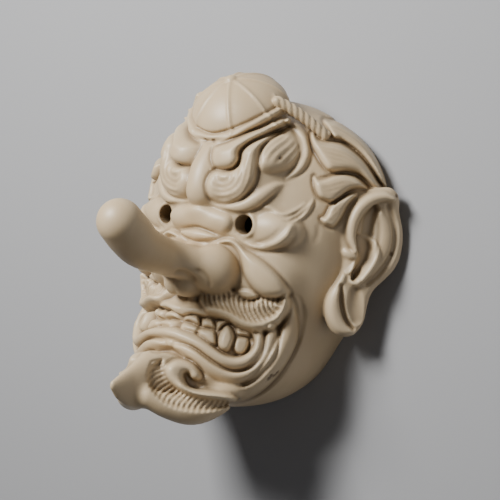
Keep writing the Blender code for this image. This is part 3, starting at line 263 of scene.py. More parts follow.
def beside(rows: Rows, u: Rows, v: Rows) -> tuple[Rows, Rows]:
    """Distances of points to a line of rows (u, v, radius) as shares of its radius, and that radius.

    Args:
        rows: Rows (u, v, radius) along the line.
        u: First coordinates of the points.
        v: Second coordinates of the points.

    Returns:
        The share and the radius at the nearest place, one to a point.
    """
    least = np.full(len(u), 1.0e9)
    radius = np.zeros(len(u))
    for a, b in zip(rows[:-1], rows[1:]):
        e = b[:2] - a[:2]
        t = np.clip(((u - a[0]) * e[0] + (v - a[1]) * e[1]) / max(float(e @ e), 1e-9), 0.0, 1.0)
        r = np.maximum(a[2] + (b[2] - a[2]) * t, 0.05)
        k = np.sqrt((u - a[0] - t * e[0]) ** 2 + (v - a[1] - t * e[1]) ** 2) / r
        radius = np.where(k < least, r, radius)
        least = np.minimum(least, k)
    return least, radius


class Block:
    """The left half of the wood, held as distances to its surface on a grid, in parts."""

    def __init__(self, step: float, low: tuple[float, ...], high: tuple[float, ...]) -> None:
        """Start with no wood between two corners.

        Args:
            step: Step of the grid.
            low: The lower corner (x, y, z).
            high: The upper corner (x, y, z).
        """
        self.step = step
        self.drawing = Drawing()
        self.low = np.array([-2.0 * step, low[1], low[2]])
        count = np.ceil((np.array(high) - self.low) / step).astype(int) + 1
        self.axis = [self.low[i] + step * np.arange(count[i]) for i in range(3)]
        self.f = np.full(count, FAR, np.float32)

    def window(self, low: Rows, high: Rows) -> Window:
        """Slices of the grid between two corners.

        Args:
            low: The lower corner (x, y, z).
            high: The upper corner (x, y, z).

        Returns:
            One slice to an axis.
        """
        cut = []
        for i in range(3):
            a = int(np.clip(np.floor((low[i] - self.low[i]) / self.step), 0, self.f.shape[i]))
            b = int(np.clip(np.ceil((high[i] - self.low[i]) / self.step) + 1, 0, self.f.shape[i]))
            cut.append(slice(a, b))
        return tuple(cut)

    def everywhere(self) -> Window:
        """Slices of the whole grid."""
        return tuple(slice(0, n) for n in self.f.shape)

    def coords(self, cut: Window) -> tuple[Rows, Rows, Rows]:
        """The x, y and z of a window, ready to be combined.

        Args:
            cut: The window.

        Returns:
            Three arrays that broadcast to the window's shape.
        """
        x = self.axis[0][cut[0]][:, None, None].astype(np.float32)
        y = self.axis[1][cut[1]][None, :, None].astype(np.float32)
        z = self.axis[2][cut[2]][None, None, :].astype(np.float32)
        return x, y, z

    def apply(self, cut: Window, g: Rows, blend: float, work: Work = Work.ADD) -> None:
        """Add the shape g to the wood, or take it away, with a fillet of the blend's size.

        Args:
            cut: The window that the shape fills.
            g: Distances to the shape, negative inside it.
            blend: Size of the fillet.
            work: Whether the shape is added or taken away.
        """
        f = self.f[cut]
        if work is Work.ADD:
            h = np.maximum(blend - np.abs(f - g), 0.0) / max(blend, 1e-6)
            self.f[cut] = np.minimum(f, g) - h * h * blend * 0.25
        else:
            h = np.maximum(blend - np.abs(f + g), 0.0) / max(blend, 1e-6)
            self.f[cut] = np.maximum(f, -g) + h * h * blend * 0.25

    def ball_field(self, cut: Window, centre: Rows, radii: Rows, frame: Rows | None = None) -> Rows:
        """Distances to an ellipsoid, turned by the rows of a frame.

        Args:
            cut: The window to fill.
            centre: Its middle (x, y, z).
            radii: Its half sizes.
            frame: Rows that give its own axes, or None where it isn't turned.

        Returns:
            The distances in the window.
        """
        x, y, z = self.coords(cut)
        d = [x - centre[0], y - centre[1], z - centre[2]]
        if frame is not None:
            d = [row[0] * d[0] + row[1] * d[1] + row[2] * d[2] for row in frame]
        k0 = np.sqrt(sum((d[i] / radii[i]) ** 2 for i in range(3)))
        k1 = np.sqrt(sum((d[i] / radii[i] ** 2) ** 2 for i in range(3)))
        return k0 * (k0 - 1.0) / np.maximum(k1, 1e-6)

    def ball(self, centre: Rows, radii: Rows, blend: float = 4.0, frame: Rows | None = None,
             work: Work = Work.ADD) -> None:
        """An ellipsoid of wood, or one taken away.

        Args:
            centre: Its middle (x, y, z).
            radii: Its half sizes.
            blend: Size of the fillet.
            frame: Rows that give its own axes, or None where it isn't turned.
            work: Whether it is added or taken away.
        """
        reach = max(radii) + 3.0 * blend + 6.0
        cut = self.window(np.array(centre) - reach, np.array(centre) + reach)
        self.apply(cut, self.ball_field(cut, centre, radii, frame), blend, work)

    def tube_field(self, rows: Rows, reach: float) -> tuple[Window, Rows]:
        """Distances to a rod through rows (x, y, z, radius), with the window that they fill.

        Args:
            rows: Rows (x, y, z, radius) along the rod.
            reach: How far out of the rod the window reaches.

        Returns:
            The window and the distances in it.
        """
        p = np.asarray(rows, float)
        m = p[:, 3].max() + reach
        cut = self.window(p[:, :3].min(0) - m, p[:, :3].max(0) + m)
        g = np.full(tuple(c.stop - c.start for c in cut), FAR, np.float32)
        for a, b in zip(p[:-1], p[1:]):
            m = max(a[3], b[3]) + reach
            w = self.window(np.minimum(a[:3], b[:3]) - m, np.maximum(a[:3], b[:3]) + m)
            if any(c.stop <= c.start for c in w):
                continue
            x, y, z = self.coords(w)
            e = b[:3] - a[:3]
            t = ((x - a[0]) * e[0] + (y - a[1]) * e[1] + (z - a[2]) * e[2]) / max(float(e @ e), 1e-9)
            t = np.clip(t, 0.0, 1.0)
            d = np.sqrt((x - a[0] - t * e[0]) ** 2 + (y - a[1] - t * e[1]) ** 2
                        + (z - a[2] - t * e[2]) ** 2)
            d -= a[3] + (b[3] - a[3]) * t
            at = tuple(slice(w[j].start - cut[j].start, w[j].stop - cut[j].start) for j in range(3))
            g[at] = np.minimum(g[at], d)
        return cut, g

    def tube(self, rows: Marks | Rows, blend: float = 2.0, work: Work = Work.ADD) -> None:
        """A rod of wood through rows (x, y, z, radius), or one taken away.

        Args:
            rows: Rows (x, y, z, radius) along the rod.
            blend: Size of the fillet.
            work: Whether it is added or taken away.
        """
        cut, g = self.tube_field(spline(rows), 3.0 * blend + 4.0)
        self.apply(cut, g, blend, work)

    def groove(self, rows: Rows, width: float, depth: float) -> None:
        """A cut with a round-shouldered V section along rows (x, y, z), fading out at its ends.

        Args:
            rows: Rows along the cut.
            width: Half its width, about.
            depth: Its depth.
        """
        p = rows
        share = np.linspace(0.0, 1.0, len(p))
        fade = np.clip(4.5 * np.minimum(share, 1.0 - share), 0.12, 1.0)
        reach = 1.9 * width
        cut, g = self.tube_field(np.column_stack([p[:, :3], reach * fade]), 0.5)
        self.f[cut] += (depth * np.clip(-g / reach, 0.0, 1.0) ** 1.35).astype(np.float32)

    def sample(self, p: Rows) -> Rows:
        """The field at any points, the right half read as the left.

        Args:
            p: Points, with x, y and z on the last axis.

        Returns:
            One distance to a point.
        """
        p = np.concatenate([np.abs(p[..., :1]), p[..., 1:]], -1)
        c = (p - self.low) / self.step
        last = np.array(self.f.shape) - 1.001
        held = np.all((c >= 0) & (c <= last), -1)
        c = np.clip(c, 0, last)
        i = c.astype(int)
        r = c - i
        value = 0.0
        for a in (0, 1):
            for b in (0, 1):
                for d in (0, 1):
                    share = (np.where(a, r[..., 0], 1 - r[..., 0]) * np.where(b, r[..., 1], 1 - r[..., 1])
                             * np.where(d, r[..., 2], 1 - r[..., 2]))
                    value = value + share * self.f[i[..., 0] + a, i[..., 1] + b, i[..., 2] + d]
        return np.where(held, value, FAR)

    def lay(self, marks: Marks | Rows, level: float = 0.0) -> Rows:
        """Marks (u, v, ...) of the drawing laid on the wood, or at a level in it: rows (x, y, z, ...).

        Args:
            marks: Rows (u, v) with anything after them, which is kept.
            level: How far out of the wood the rows lie, or in it where it is below 0.

        Returns:
            One row to a mark.
        """
        m = np.asarray(marks, float)
        eye, d = self.drawing.eye(), self.drawing.sight(m)
        t = np.arange(*SIGHT_RANGE, SIGHT_STEP)
        v = self.sample(eye + d[:, None, :] * t[None, :, None]) - level
        hit = v <= 0
        first = np.where(hit.any(1), hit.argmax(1), v.argmin(1))
        rows = []
        for i, j in enumerate(first):
            q = t[j]
            if j > 0 and v[i, j] <= 0 < v[i, j - 1]:
                q = t[j - 1] + SIGHT_STEP * v[i, j - 1] / (v[i, j - 1] - v[i, j])
            rows.append(eye + d[i] * q)
        return np.column_stack([np.array(rows), m[:, 2:]])

    def skin(self, marks: Rows, reach: float, deep: float) -> tuple[Window, tuple, Rows, Rows, Rows]:
        """The grid's points near the wood's surface about marks.

        Args:
            marks: Marks (u, v, ...) that the work covers.
            reach: How far from the surface a point may lie.
            deep: How far in depth it may lie from a plane through the laid marks.

        Returns:
            The window, the points' places in it, their marks u and v and the parts in one mark.
        """
        rows = self.lay(marks[:, :2])
        margin = reach + 4.0
        cut = self.window(rows.min(0) - margin, rows.max(0) + margin)
        near = np.nonzero(np.abs(self.f[cut]) < reach)
        p = np.column_stack([self.axis[i][cut[i]][near[i]] for i in range(3)])
        u, v, depth = self.drawing.project(p)
        below = self.drawing.project(rows)[2]
        flat = np.column_stack([marks[:, :2], np.ones(len(marks))])
        held = np.ones(len(marks), bool)
        for _ in range(3):
            plane = np.linalg.lstsq(flat[held], below[held], rcond=None)[0]
            off = np.abs(flat @ plane - below)
            held = off <= max(2.0 * float(np.median(off)), 3.0)
        keep = np.abs(depth - plane[0] * u - plane[1] * v - plane[2]) < deep
        near = tuple(n[keep] for n in near)
        return cut, near, u[keep], v[keep], depth[keep] / self.drawing.focal

    def emboss(self, outline: Marks, height: float, shoulder: float, crease: float = 0.0,
               margin: float = 3.0, deep: float = 22.0) -> None:
        """Raise the wood inside an outline in a rounded cushion, or sink it.

        Args:
            outline: Marks (u, v) of a closed outline.
            height: How far the wood rises, below 0 where it sinks.
            shoulder: Width of the cushion's rounded edge, in marks.
            crease: Depth of the cut at the outline's foot.
            margin: Width of that cut, in marks.
            deep: How far in depth the work may lie from the laid outline.
        """
        m = ring(outline)
        cut, near, u, v, _ = self.skin(m, abs(height) + crease + 4.0, deep)
        d = inside(m, u, v)
        change = height * (1.0 - (1.0 - np.clip(d / shoulder, 0.0, 1.0)) ** 2.2)
        change -= crease * np.clip(1.0 - np.abs(d) / margin, 0.0, 1.0)
        self.f[cut][near] -= change.astype(np.float32)

    def roll(self, marks: Marks, share: float = 0.7, crease: float = 0.0, margin: float = 3.0,
             deep: float = 22.0) -> None:
        """Raise a rounded roll along a line.

        Args:
            marks: Marks (u, v, radius) along the line.
            share: The roll's height as a share of its radius.
            crease: Depth of the cut along its foot.
            margin: Width of that cut, in marks.
            deep: How far in depth the work may lie from the laid line.
        """
        m = spline(marks)
        cut, near, u, v, scale = self.skin(m, abs(share) * m[:, 2].max() + crease + 4.0, deep)
        k, radius = beside(m, u, v)
        change = share * radius * scale * (1.0 - np.clip(k, 0.0, 1.0) ** 2) ** 0.85
        change -= crease * np.clip(1.0 - np.abs(k - 1.0) * radius / margin, 0.0, 1.0)
        self.f[cut][near] -= change.astype(np.float32)

    def line(self, marks: Marks | Rows, width: float = 1.0, depth: float = 1.2) -> None:
        """A cut line through marks (u, v).

        Args:
            marks: Marks along the line.
            width: Half its width, about.
            depth: Its depth.
        """
        self.groove(self.lay(spline(marks, 5)), width, depth)

    def strands(self, first: Marks, last: Marks, count: int, width: float, depth: float,
                ends: bool = False) -> None:
        """Cut lines between two edges, with or without lines on the edges.

        Args:
            first: Marks along one edge.
            last: Marks along the other, as many.
            count: How many lines.
            width: Half a line's width, about.
            depth: A line's depth.
            ends: Whether lines are cut on the edges too.
        """
        first, last = np.array(first, float), np.array(last, float)
        shares = np.linspace(0.0, 1.0, count) if ends else (np.arange(count) + 0.5) / count
        for k in shares:
            self.line(first * (1.0 - k) + last * k, width, depth)

    def comb(self, top: Marks, low: Marks, count: int, bow: Marks, half: float, depth: float,
             deep: float = 13.0) -> None:
        """Flute the wood from one edge to another.

        Args:
            top: Marks (u, v) of the edge where the flutes start.
            low: Marks (u, v) of the edge where they end.
            count: How many flutes there are.
            bow: How far the first and the last flute are bowed aside, in marks.
            half: Half a flute's width at its start, in marks.
            depth: Depth of the flutes.
            deep: How far in depth the work may lie from the laid flutes.
        """
        top, low = spline(top, 6), spline(low, 6)
        flutes = []
        for k in np.linspace(0.0, 1.0, count):
            a, c = along(top, k), along(low, k)
            m = 0.5 * (a + c) + np.array(bow[0]) * (1.0 - k) + np.array(bow[1]) * k
            rows = spline([a, m, c], 4)
            flutes.append(np.column_stack([rows, half * np.linspace(1.0, 0.4, len(rows))]))
        cut, near, u, v, _ = self.skin(np.vstack(flutes), depth + 4.0, deep)
        share = np.zeros(len(u))
        for rows in flutes:
            share = np.maximum(share, 1.0 - np.clip(beside(rows, u, v)[0], 0.0, 1.0))
        self.f[cut][near] += (depth * share ** 1.15).astype(np.float32)

    def soften(self) -> None:
        """Take the grid's own roughness off the wood."""
        for axis in range(3):
            f = np.moveaxis(self.f, axis, 0)
            f[1:-1] = 0.25 * f[:-2] + 0.5 * f[1:-1] + 0.25 * f[2:]

    def openness(self, points: Rows, reach: float) -> Rows:
        """How far the wood's surface stands out of its surroundings at points, in parts.

        Args:
            points: Rows (x, y, z).
            reach: How far off the surroundings are felt.

        Returns:
            One height to a point, below 0 in a hollow.
        """
        total = 0.0
        for axis in range(3):
            for side in (-1.0, 1.0):
                shift = np.zeros(3)
                shift[axis] = side * reach
                total = total + self.sample(points + shift)
        return total / 6.0


@dataclass(frozen=True)
class Head:
    """The skull, the hair over it, the muzzle, a cheek and the brow block.

    Attributes:
        middle: Middle of the skull, a prism behind this level and an ellipsoid before it.
        half_width: From the middle to the side.
        above: From the middle to the top.
        below: From the middle to the chin.
        front: From the middle to the face.
        muzzle: Half sizes of the muzzle.
        muzzle_place: How far the muzzle's middle lies above the chin, and its level.
        lumps: A cheek, the two lumps of the brow block and the lip: middle, half sizes and blend.
        slack: Play between the top of the hollow and the wall's own line.
    """

    middle: tuple[float, float, float] = (0.0, 0.0, -66.0)
    half_width: float = 87.0
    above: float = 91.5
    below: float = 124.0
    front: float = 74.0
    muzzle: tuple[float, float, float] = (66.0, 45.0, 66.0)
    muzzle_place: tuple[float, float] = (38.0, -42.0)
    lumps: tuple = (((38, -34, -22), (26, 24, 22), 10), ((22, 24, -12), (26, 22, 20), 8),
                    ((17, 42, -15), (31, 25, 25), 8), ((10, -62, -8), (24, 14, 22), 8))
    slack: float = 2.0

    def carve(self, b: Block) -> None:
        """Rough the head out.

        Args:
            b: The block to carve.
        """
        cut = b.everywhere()
        x, y, z = b.coords(cut)
        z = np.maximum(z, self.middle[2])
        tall = np.where(y > 0.0, self.above, self.below)
        k = np.sqrt((x / self.half_width) ** 2 + (y / tall) ** 2
                    + ((z - self.middle[2]) / self.front) ** 2)
        slope = np.sqrt((x / self.half_width ** 2) ** 2 + (y / tall ** 2) ** 2
                        + ((z - self.middle[2]) / self.front ** 2) ** 2)
        b.f = np.minimum(b.f, k * (k - 1.0) / np.maximum(slope, 1e-6)).astype(np.float32)
        b.ball((0, 20, -72), (95, 67, 66), 6)
        b.ball((0, self.muzzle_place[0] - self.below, self.muzzle_place[1]), self.muzzle, 14)
        for place, radii, blend in self.lumps:
            b.ball(place, radii, blend)

    def hollow(self, b: Block, wall: float) -> None:
        """Hollow the back, a wall's thickness behind the head and the muzzle.

        Args:
            b: The block to hollow.
            wall: The wall's thickness.
        """
        steepness, blend = 60.0, 8.0
        cut = b.everywhere()
        x, y, z = b.coords(cut)
        z = np.maximum(z, self.middle[2])
        tall = np.where(y > 0.0, self.above - self.slack - wall, self.below - wall)
        g = np.sqrt((x / (self.half_width - wall)) ** 2 + (y / tall) ** 2
                    + ((z - self.middle[2]) / (self.front - wall)) ** 2)
        g = (g - 1.0) * steepness
        m = b.ball_field(cut, (0, 40 - self.below, -42), (59 - wall, 41 - wall, 55 - wall))
        h = np.maximum(blend - np.abs(g - m), 0.0) / blend
        b.apply(cut, np.minimum(g, m) - 0.25 * blend * h * h, 0.0, Work.TAKE)


@dataclass(frozen=True)
class Bridge:
    """The column between the brows, the lump under it and the leaf-shaped fold above the nose."""

    column: tuple = ((0, 47, -3, 9), (0, 41, 2, 10.5), (0, 30, 6.4, 11.4), (0, 20.5, 7.2, 12),
                     (0, 18, 5.6, 11))

    def carve(self, b: Block) -> None:
        """Carve the column, then the folds across the bridge.

        Args:
            b: The block to carve.
        """
        b.tube(self.column, 6)
        b.roll([(178, 213, 7), (186, 214.5, 9), (200, 216.5, 10.5), (213, 219.5, 11.5),
                (222, 222.5, 11)], 0.62)
        b.roll([(168, 232.5, 4), (180, 233.5, 6.5), (196, 234.6, 6.5), (209, 236.5, 4.4),
                (220, 237.5, 1.2)], 0.9, 0.4, 2.0)
        b.line([(176, 227), (187, 226), (197, 227), (206, 229.6), (214, 233.6), (221, 236.6),
                (229, 236.8), (235, 238)], 1.2, 2.2)
        b.line([(174, 240), (190, 241.8), (204, 240.8), (213, 238.6), (222, 237.5), (230, 236.8)], 1.0,
               1.2)


@dataclass(frozen=True)
class Nose:
    """The long nose with its club end, and its wings.

    Attributes:
        shaft: Rows (x, y, z, radius) along the nose.
        flank: Rows of the swelling from the shaft to a wing.
        wing: Middle of a wing.
        wing_radii: Half sizes of a wing.
        lobe: Rows of the lobe between the nostrils.
    """

    shaft: tuple = ((0, -30, -8, 12.4), (0, -29.6, 10, 11.8), (0, -27.8, 32, 11.8), (0, -21.8, 61, 14.2),
                    (0, -14, 75, 15.2), (0, -6.3, 86, 14.8))
    flank: tuple = ((3, -28.6, 32, 10.6), (10, -30.2, 22, 10.8), (16, -31.6, 13, 11.6))
    wing: tuple = (19.0, -32.5, 8.0)
    wing_radii: tuple = (16.0, 17.0, 16.0)
    lobe: tuple = ((4, -44, 18, 9.2), (5, -43, 8, 10), (7, -41, -4, 10.5))

    def carve(self, b: Block) -> None:
        """Carve the nose over the finished face.

        Args:
            b: The block to carve.
        """
        b.tube(self.shaft, 4)
        b.tube(self.flank, 5)
        b.ball(self.wing, self.wing_radii, 4)
        b.tube(self.lobe, 3)
        b.line([(172, 274.5), (179, 272.6), (186, 274), (191, 278), (196, 282)], 2.0, 4.2)
        b.line([(212, 245.5), (222, 244.5), (231, 249.5), (238, 259), (241, 271), (239, 282),
                (233, 290.5), (225, 296.5)], 1.2, 1.6)
        b.line([(190, 270.5), (197, 270.5), (203.5, 273.5), (208, 279), (209.6, 286), (208.6, 293)],
               1.1, 2.2)


@dataclass(frozen=True)
class Cap:
    """The little panelled cap: a ribbed dome with a button, on a band of rolls.

    Attributes:
        seat: Middle of the dome's foot.
        tilt: How far the cap leans back from the crown, in degrees.
        radius: Radius of the foot.
        rise: Height of the dome.
        fullness: Power of the dome's profile, 2 for an ellipse and less for a more pointed one.
        ribs: Angles of the seams between the panels from the front, in degrees.
        rib_width: Width of a seam.
        rib_height: Height of a seam.
    """

    seat: tuple[float, float, float] = (0.0, 78.5, -22.5)
    tilt: float = 37.0
    radius: float = 34.8
    rise: float = 23.8
    fullness: float = 1.75
    ribs: tuple[float, ...] = (26.0, 71.0, 116.0, 161.0)
    rib_width: float = 0.9
    rib_height: float = 1.1

    def carve(self, b: Block) -> None:
        """Carve the dome, its ribs and its band.

        Args:
            b: The block to carve.
        """
        lean = math.radians(self.tilt)
        up = np.array([0.0, math.cos(lean), math.sin(lean)])
        front = np.array([0.0, -math.sin(lean), math.cos(lean)])
        frame = np.array([[1.0, 0.0, 0.0], up, front])
        cut = b.window((-9, 30, -90), (60, 112, 30))
        x, y, z = b.coords(cut)
        high = up[1] * (y - self.seat[1]) + up[2] * (z - self.seat[2])
        ahead = front[1] * (y - self.seat[1]) + front[2] * (z - self.seat[2])
        angle = np.degrees(np.arctan2(x, ahead))
        out = np.sqrt(x * x + ahead * ahead)
        k = (np.abs(out / self.radius) ** self.fullness
             + np.abs(high / self.rise) ** self.fullness) ** (1.0 / self.fullness)
        dome = (k - 1.0) * self.rise * 0.95
        rib = np.zeros_like(dome)
        for a in self.ribs:
            rib = np.maximum(rib, np.exp(-(np.radians(angle - a) * out / self.rib_width) ** 2))
        dome = dome - self.rib_height * rib * np.clip(out / 8, 0, 1)
        b.apply(cut, np.maximum(dome, -high - 1.0), 0.8)
        for level, thick in ((-3.0, 2.9), (-7.4, 2.1)):
            band = np.sqrt((out - self.radius + 0.8 * thick) ** 2 + (high - level) ** 2) - thick
            b.apply(cut, band, 0.5)
        b.apply(cut, np.maximum(out - self.radius + 2.5, np.abs(high + 5) - 6), 1.0)
        b.ball(np.array(self.seat) + up * (self.rise + 0.2), (4.2, 2.4, 4.2), 0.8, frame)
        b.roll([(190, 112, 3), (191.4, 118, 3.4), (195, 127, 3.8), (202, 134.6, 4), (211, 137.6, 4),
                (221, 136.6, 4), (233, 133, 4), (248, 126.6, 4), (263, 119, 4), (277, 111.6, 3.8),
                (285, 106.6, 3)], 0.8, 1.2, 2.0)
        b.line([(194.6, 124), (200, 129.6), (207, 132.4), (215, 133.4), (225, 131.8), (236, 128.4),
                (250, 121.8), (265, 113.8), (279, 106)], 1.0, 1.8)


@dataclass(frozen=True)
class Brow:
    """The tuft under the cap, the ribbon round the brow's flame, the swirl and the lid fold."""

    swirl: tuple = ((289, 126), (283, 129.5), (274, 132.5), (264, 136.5), (255, 140.5), (247, 145.5),
                    (242.5, 151), (240.5, 158), (238, 164), (233, 169), (226, 170), (218, 169),
                    (211, 172.5), (207, 178.5), (205.5, 186), (207, 194), (210.5, 199.5), (217, 203),
                    (227, 204), (236.5, 202), (244, 198), (250.5, 191), (255.5, 183), (258, 173),
                    (259, 162), (260.5, 152), (265, 144.5), (273, 137.5), (281, 132))

    flame: tuple = (((259, 160), (261, 149), (267, 141.4), (278, 134), (288, 127.4)),
                    ((262, 164), (265.4, 153), (272, 145), (282, 138), (291, 130)),
                    ((266, 166.6), (271, 156.4), (279, 148), (288, 141), (294.6, 133.6)),
                    ((273, 167), (279, 159), (287, 151.6), (294, 145), (298, 138)),
                    ((281, 167.4), (287.6, 161), (294, 154), (299, 147), (300.6, 142)),
                    ((288, 168), (294, 162.4), (299.4, 155.4), (302, 149)))

    def carve(self, b: Block) -> None:
        """Carve the brow from the forehead outwards.

        Args:
            b: The block to carve.
        """
        b.roll([(212, 202, 2), (221, 205, 5), (233, 207, 7), (245, 205.5, 8), (256, 200, 8),
                (266, 193, 7), (275, 187, 5), (283, 184, 2)], 0.62)
        b.line([(214, 203.5), (222, 208.6), (232, 212.6), (242, 213.4), (252, 211), (261, 206.4),
                (269, 200.4), (276, 195), (283, 192)], 1.3, 2.4)
        b.roll([(286, 179, 1.5), (296, 172, 4), (303, 163, 5.4), (306, 152, 5.6), (304, 140, 5.6),
                (298, 129, 5.6), (290, 121, 5)], 0.75, 0.8)
        b.emboss([(214, 147), (211.5, 153), (211.5, 161), (214.5, 167), (220, 170), (228, 170),
                  (235, 167), (239.5, 160), (239.5, 152.5), (243, 147.5), (252, 141.5), (264, 136),
                  (275, 132), (284, 129), (292, 124), (292, 117.5), (287, 115), (278, 118), (264, 125),
                  (250, 131.5), (236, 138), (226, 142.5), (219, 144.5)], 6.0, 10.0, 1.4)
        b.roll([(213, 149, 1), (216, 144, 1.8), (223, 140.5, 2), (233, 136.8, 2.1), (247, 130.8, 2.2),
                (262, 123.8, 2.2), (276, 116.8, 2.2), (286, 111.5, 2)], 0.9)
        b.emboss([(289, 125.5), (295, 130.5), (300.5, 138.5), (303, 147), (302, 157), (296, 166),
                  (284, 172), (268, 174), (256, 168), (257, 156), (261, 147), (268, 139.5), (278, 132)],
                 4.6, 13.0)
        b.line([(290, 127), (295.6, 131.6), (300.8, 139), (303, 147.5), (302, 157), (296, 166)], 1.1, 1.8)
        for strand in self.flame:
            b.line(strand, 1.0, 1.7)
        b.emboss(self.swirl, 5.6, 10.0, 1.6, 3.0)
        b.line([(229, 169.6), (230, 174), (228, 179), (222.4, 181.6), (217, 179.6), (216.4, 175.6),
                (220, 173)], 1.3, 3.4)
        b.line([(212.4, 176), (212, 181), (216, 185.8), (223, 187), (230.4, 183.6), (235.6, 175.6),
                (239, 165.6), (241.4, 156)], 1.2, 2.6)
        b.line([(208.6, 182), (212, 189.6), (221, 192), (231, 189.4), (238.4, 182), (242, 171),
                (244.6, 160), (250, 150), (260, 141)], 1.0, 1.8)
        b.line([(209, 190), (214, 196.4), (223, 198.4), (233.4, 195.6), (241.6, 188.6), (246, 177.6),
                (248, 166), (251, 155.6), (257.6, 147), (270, 137.6)], 1.0, 1.6)
        b.line([(234, 199.4), (243.6, 192.4), (250, 182), (252.6, 170), (254, 159), (258, 150),
                (267, 141), (279, 133)], 1.0, 1.8)
        b.line([(240, 198.6), (248.6, 190), (254.4, 179.4), (256.4, 168), (257.6, 157), (261, 148.6)],
               0.9, 1.4)


@dataclass(frozen=True)
class Eye:
    """The eyeball with the raised ring about its bore, its lids, the crow's feet and the bag below."""

    ball: tuple[float, float, float] = (43.0, -1.0, -18.6)
    ring_radius: float = 8.8
    ring_level: float = 2.8

    def carve(self, b: Block, spacing: float) -> None:
        """Carve the eye, its ring about the axis of the pupil's bore.

        Args:
            b: The block to carve.
            spacing: Between the axes of the pupils' bores.
        """
        b.ball(self.ball, (26, 17, 19.6), 0.8)
        cut = b.window((18, -18, -20), (52, 18, 14))
        x, y, z = b.coords(cut)
        out = np.sqrt((x - 0.5 * spacing) ** 2 + y ** 2)
        disc = np.maximum(out - self.ring_radius, np.abs(z + 8.0) - 8.0 - self.ring_level + 0.08 * out)
        b.apply(cut, disc, 1.6)
        b.roll([(238, 239, 1), (246, 244, 2.6), (256, 247, 3.6), (267, 247, 4.2), (278, 243, 5),
                (287, 235.5, 5.4), (291.5, 227, 4)], 0.8)
        b.line([(247, 243.6), (254, 243.2), (263, 241), (271, 237), (279, 230), (285, 221.5)], 0.9, 1.3)
        b.line([(234, 234.5), (240, 241), (247, 246.8), (255, 250.3), (265, 251.5), (277, 251.2),
                (287, 247.5), (293.5, 241), (297, 233), (298, 226)], 1.2, 2.0)
        b.roll([(256, 206.5, 1.2), (265, 206.5, 2.2), (274, 210, 2.6), (281, 213.5, 2.4),
                (288, 213.5, 2.4), (297, 209.5, 2.2), (305, 203.5, 1.6)], 0.8)
        b.roll([(288, 218.6, 1), (296, 215.5, 1.8), (304, 209.5, 2), (310, 203.5, 1.4)], 0.9)
        b.roll([(293, 222, 1), (302, 217, 2.6), (308.5, 210, 2.8), (312.5, 203, 2.2),
                (313.5, 199.5, 1.2)], 0.9)
        b.line([(270, 210), (277, 214.5), (283.5, 217.3), (292, 215.6), (300, 210.5), (308, 203)], 0.8,
               1.4)
        b.line([(280, 217), (286, 221), (296, 218.2), (304, 212.4), (311, 204.5)], 0.9, 1.8)
        b.line([(298, 222), (306, 217.2), (312, 209.5), (315.5, 201.5), (314, 196)], 0.9, 1.6)
        b.line([(294, 225), (292.5, 231), (289.5, 236)], 1.0, 1.2)
        b.line([(318, 222), (318, 234), (313, 246)], 1.6, 0.8)


@dataclass(frozen=True)
class Cheek:
    """The pouch beside the nose and the three folds that run round the mouth."""

    folds: tuple = (((206, 389, 5), (222, 393, 7.6), (237, 394, 8.4), (250, 389, 8.6), (262, 380, 9),
                     (273, 367, 9.6), (282, 352, 10.4), (288, 337, 10.6), (291, 320, 7.6),
                     (291, 305, 4), (289, 295, 2)),
                    ((176, 346.5, 3), (184, 349, 5), (193, 354.5, 6.4), (202, 362, 7), (212, 370, 7.6),
                     (224, 376.4, 7.6), (236, 378, 7.4), (248, 375, 7.4), (259, 366, 7.6),
                     (268, 354, 7.8), (271.5, 341, 7.6), (272, 330, 6)),
                    ((150, 336, 4), (160, 332.5, 5.4), (172, 333, 5.8), (182, 336.5, 5.6),
                     (191, 340.5, 5.6), (201, 346, 5.8), (212, 354, 6.2), (224, 361.2, 6.4),
                     (236, 364, 6.4), (248, 361, 6.4), (256.6, 353, 6.2), (259.5, 343, 5.4),
                     (259.5, 333, 4.4)))

    def carve(self, b: Block) -> None:
        """Carve the folds from the outermost in, then the pouch.

        Args:
            b: The block to carve.
        """
        for fold in self.folds:
            b.roll(fold, 0.7, 1.2)
        b.line([(286, 286), (296, 293.5), (301.5, 301), (303.5, 312), (303, 324), (300.5, 336),
                (296, 348), (290, 361), (282, 374), (271, 386), (258, 395), (246, 401), (236, 403)],
               1.4, 2.6)
        b.line([(280.5, 329), (279, 344), (273.5, 357.5), (265, 369), (256, 378), (246, 384.3),
                (235, 386), (222, 383), (211, 378), (204, 373)], 1.2, 2.4)
        b.line([(265, 330), (264.5, 343), (261, 355), (252, 366), (240, 371), (228, 369.5), (214, 361.5),
                (203, 354), (192, 346.5), (183, 343), (174, 344)], 1.2, 2.4)
        b.emboss([(208, 243.5), (217, 240.5), (225, 237.8), (232, 238), (239, 242.5), (246, 249.5),
                  (254, 254), (263, 260), (272, 267.5), (281, 276.5), (288, 286), (291.6, 293.6),
                  (286, 297.6), (276, 299.6), (265, 298), (256.4, 292.4), (249, 284), (243.6, 274),
                  (240.8, 263), (237.4, 252), (231, 245.4), (222, 243.8)], 5.6, 9.0, 1.2)
        b.emboss([(233, 291), (240, 288.5), (249, 289.5), (256, 293), (259, 297), (252, 300),
                  (243, 299.5), (236, 296)], 1.6, 3.0, 0.6)
        b.line([(254, 290.5), (257, 294.5), (260.5, 298)], 0.8, 1.6)


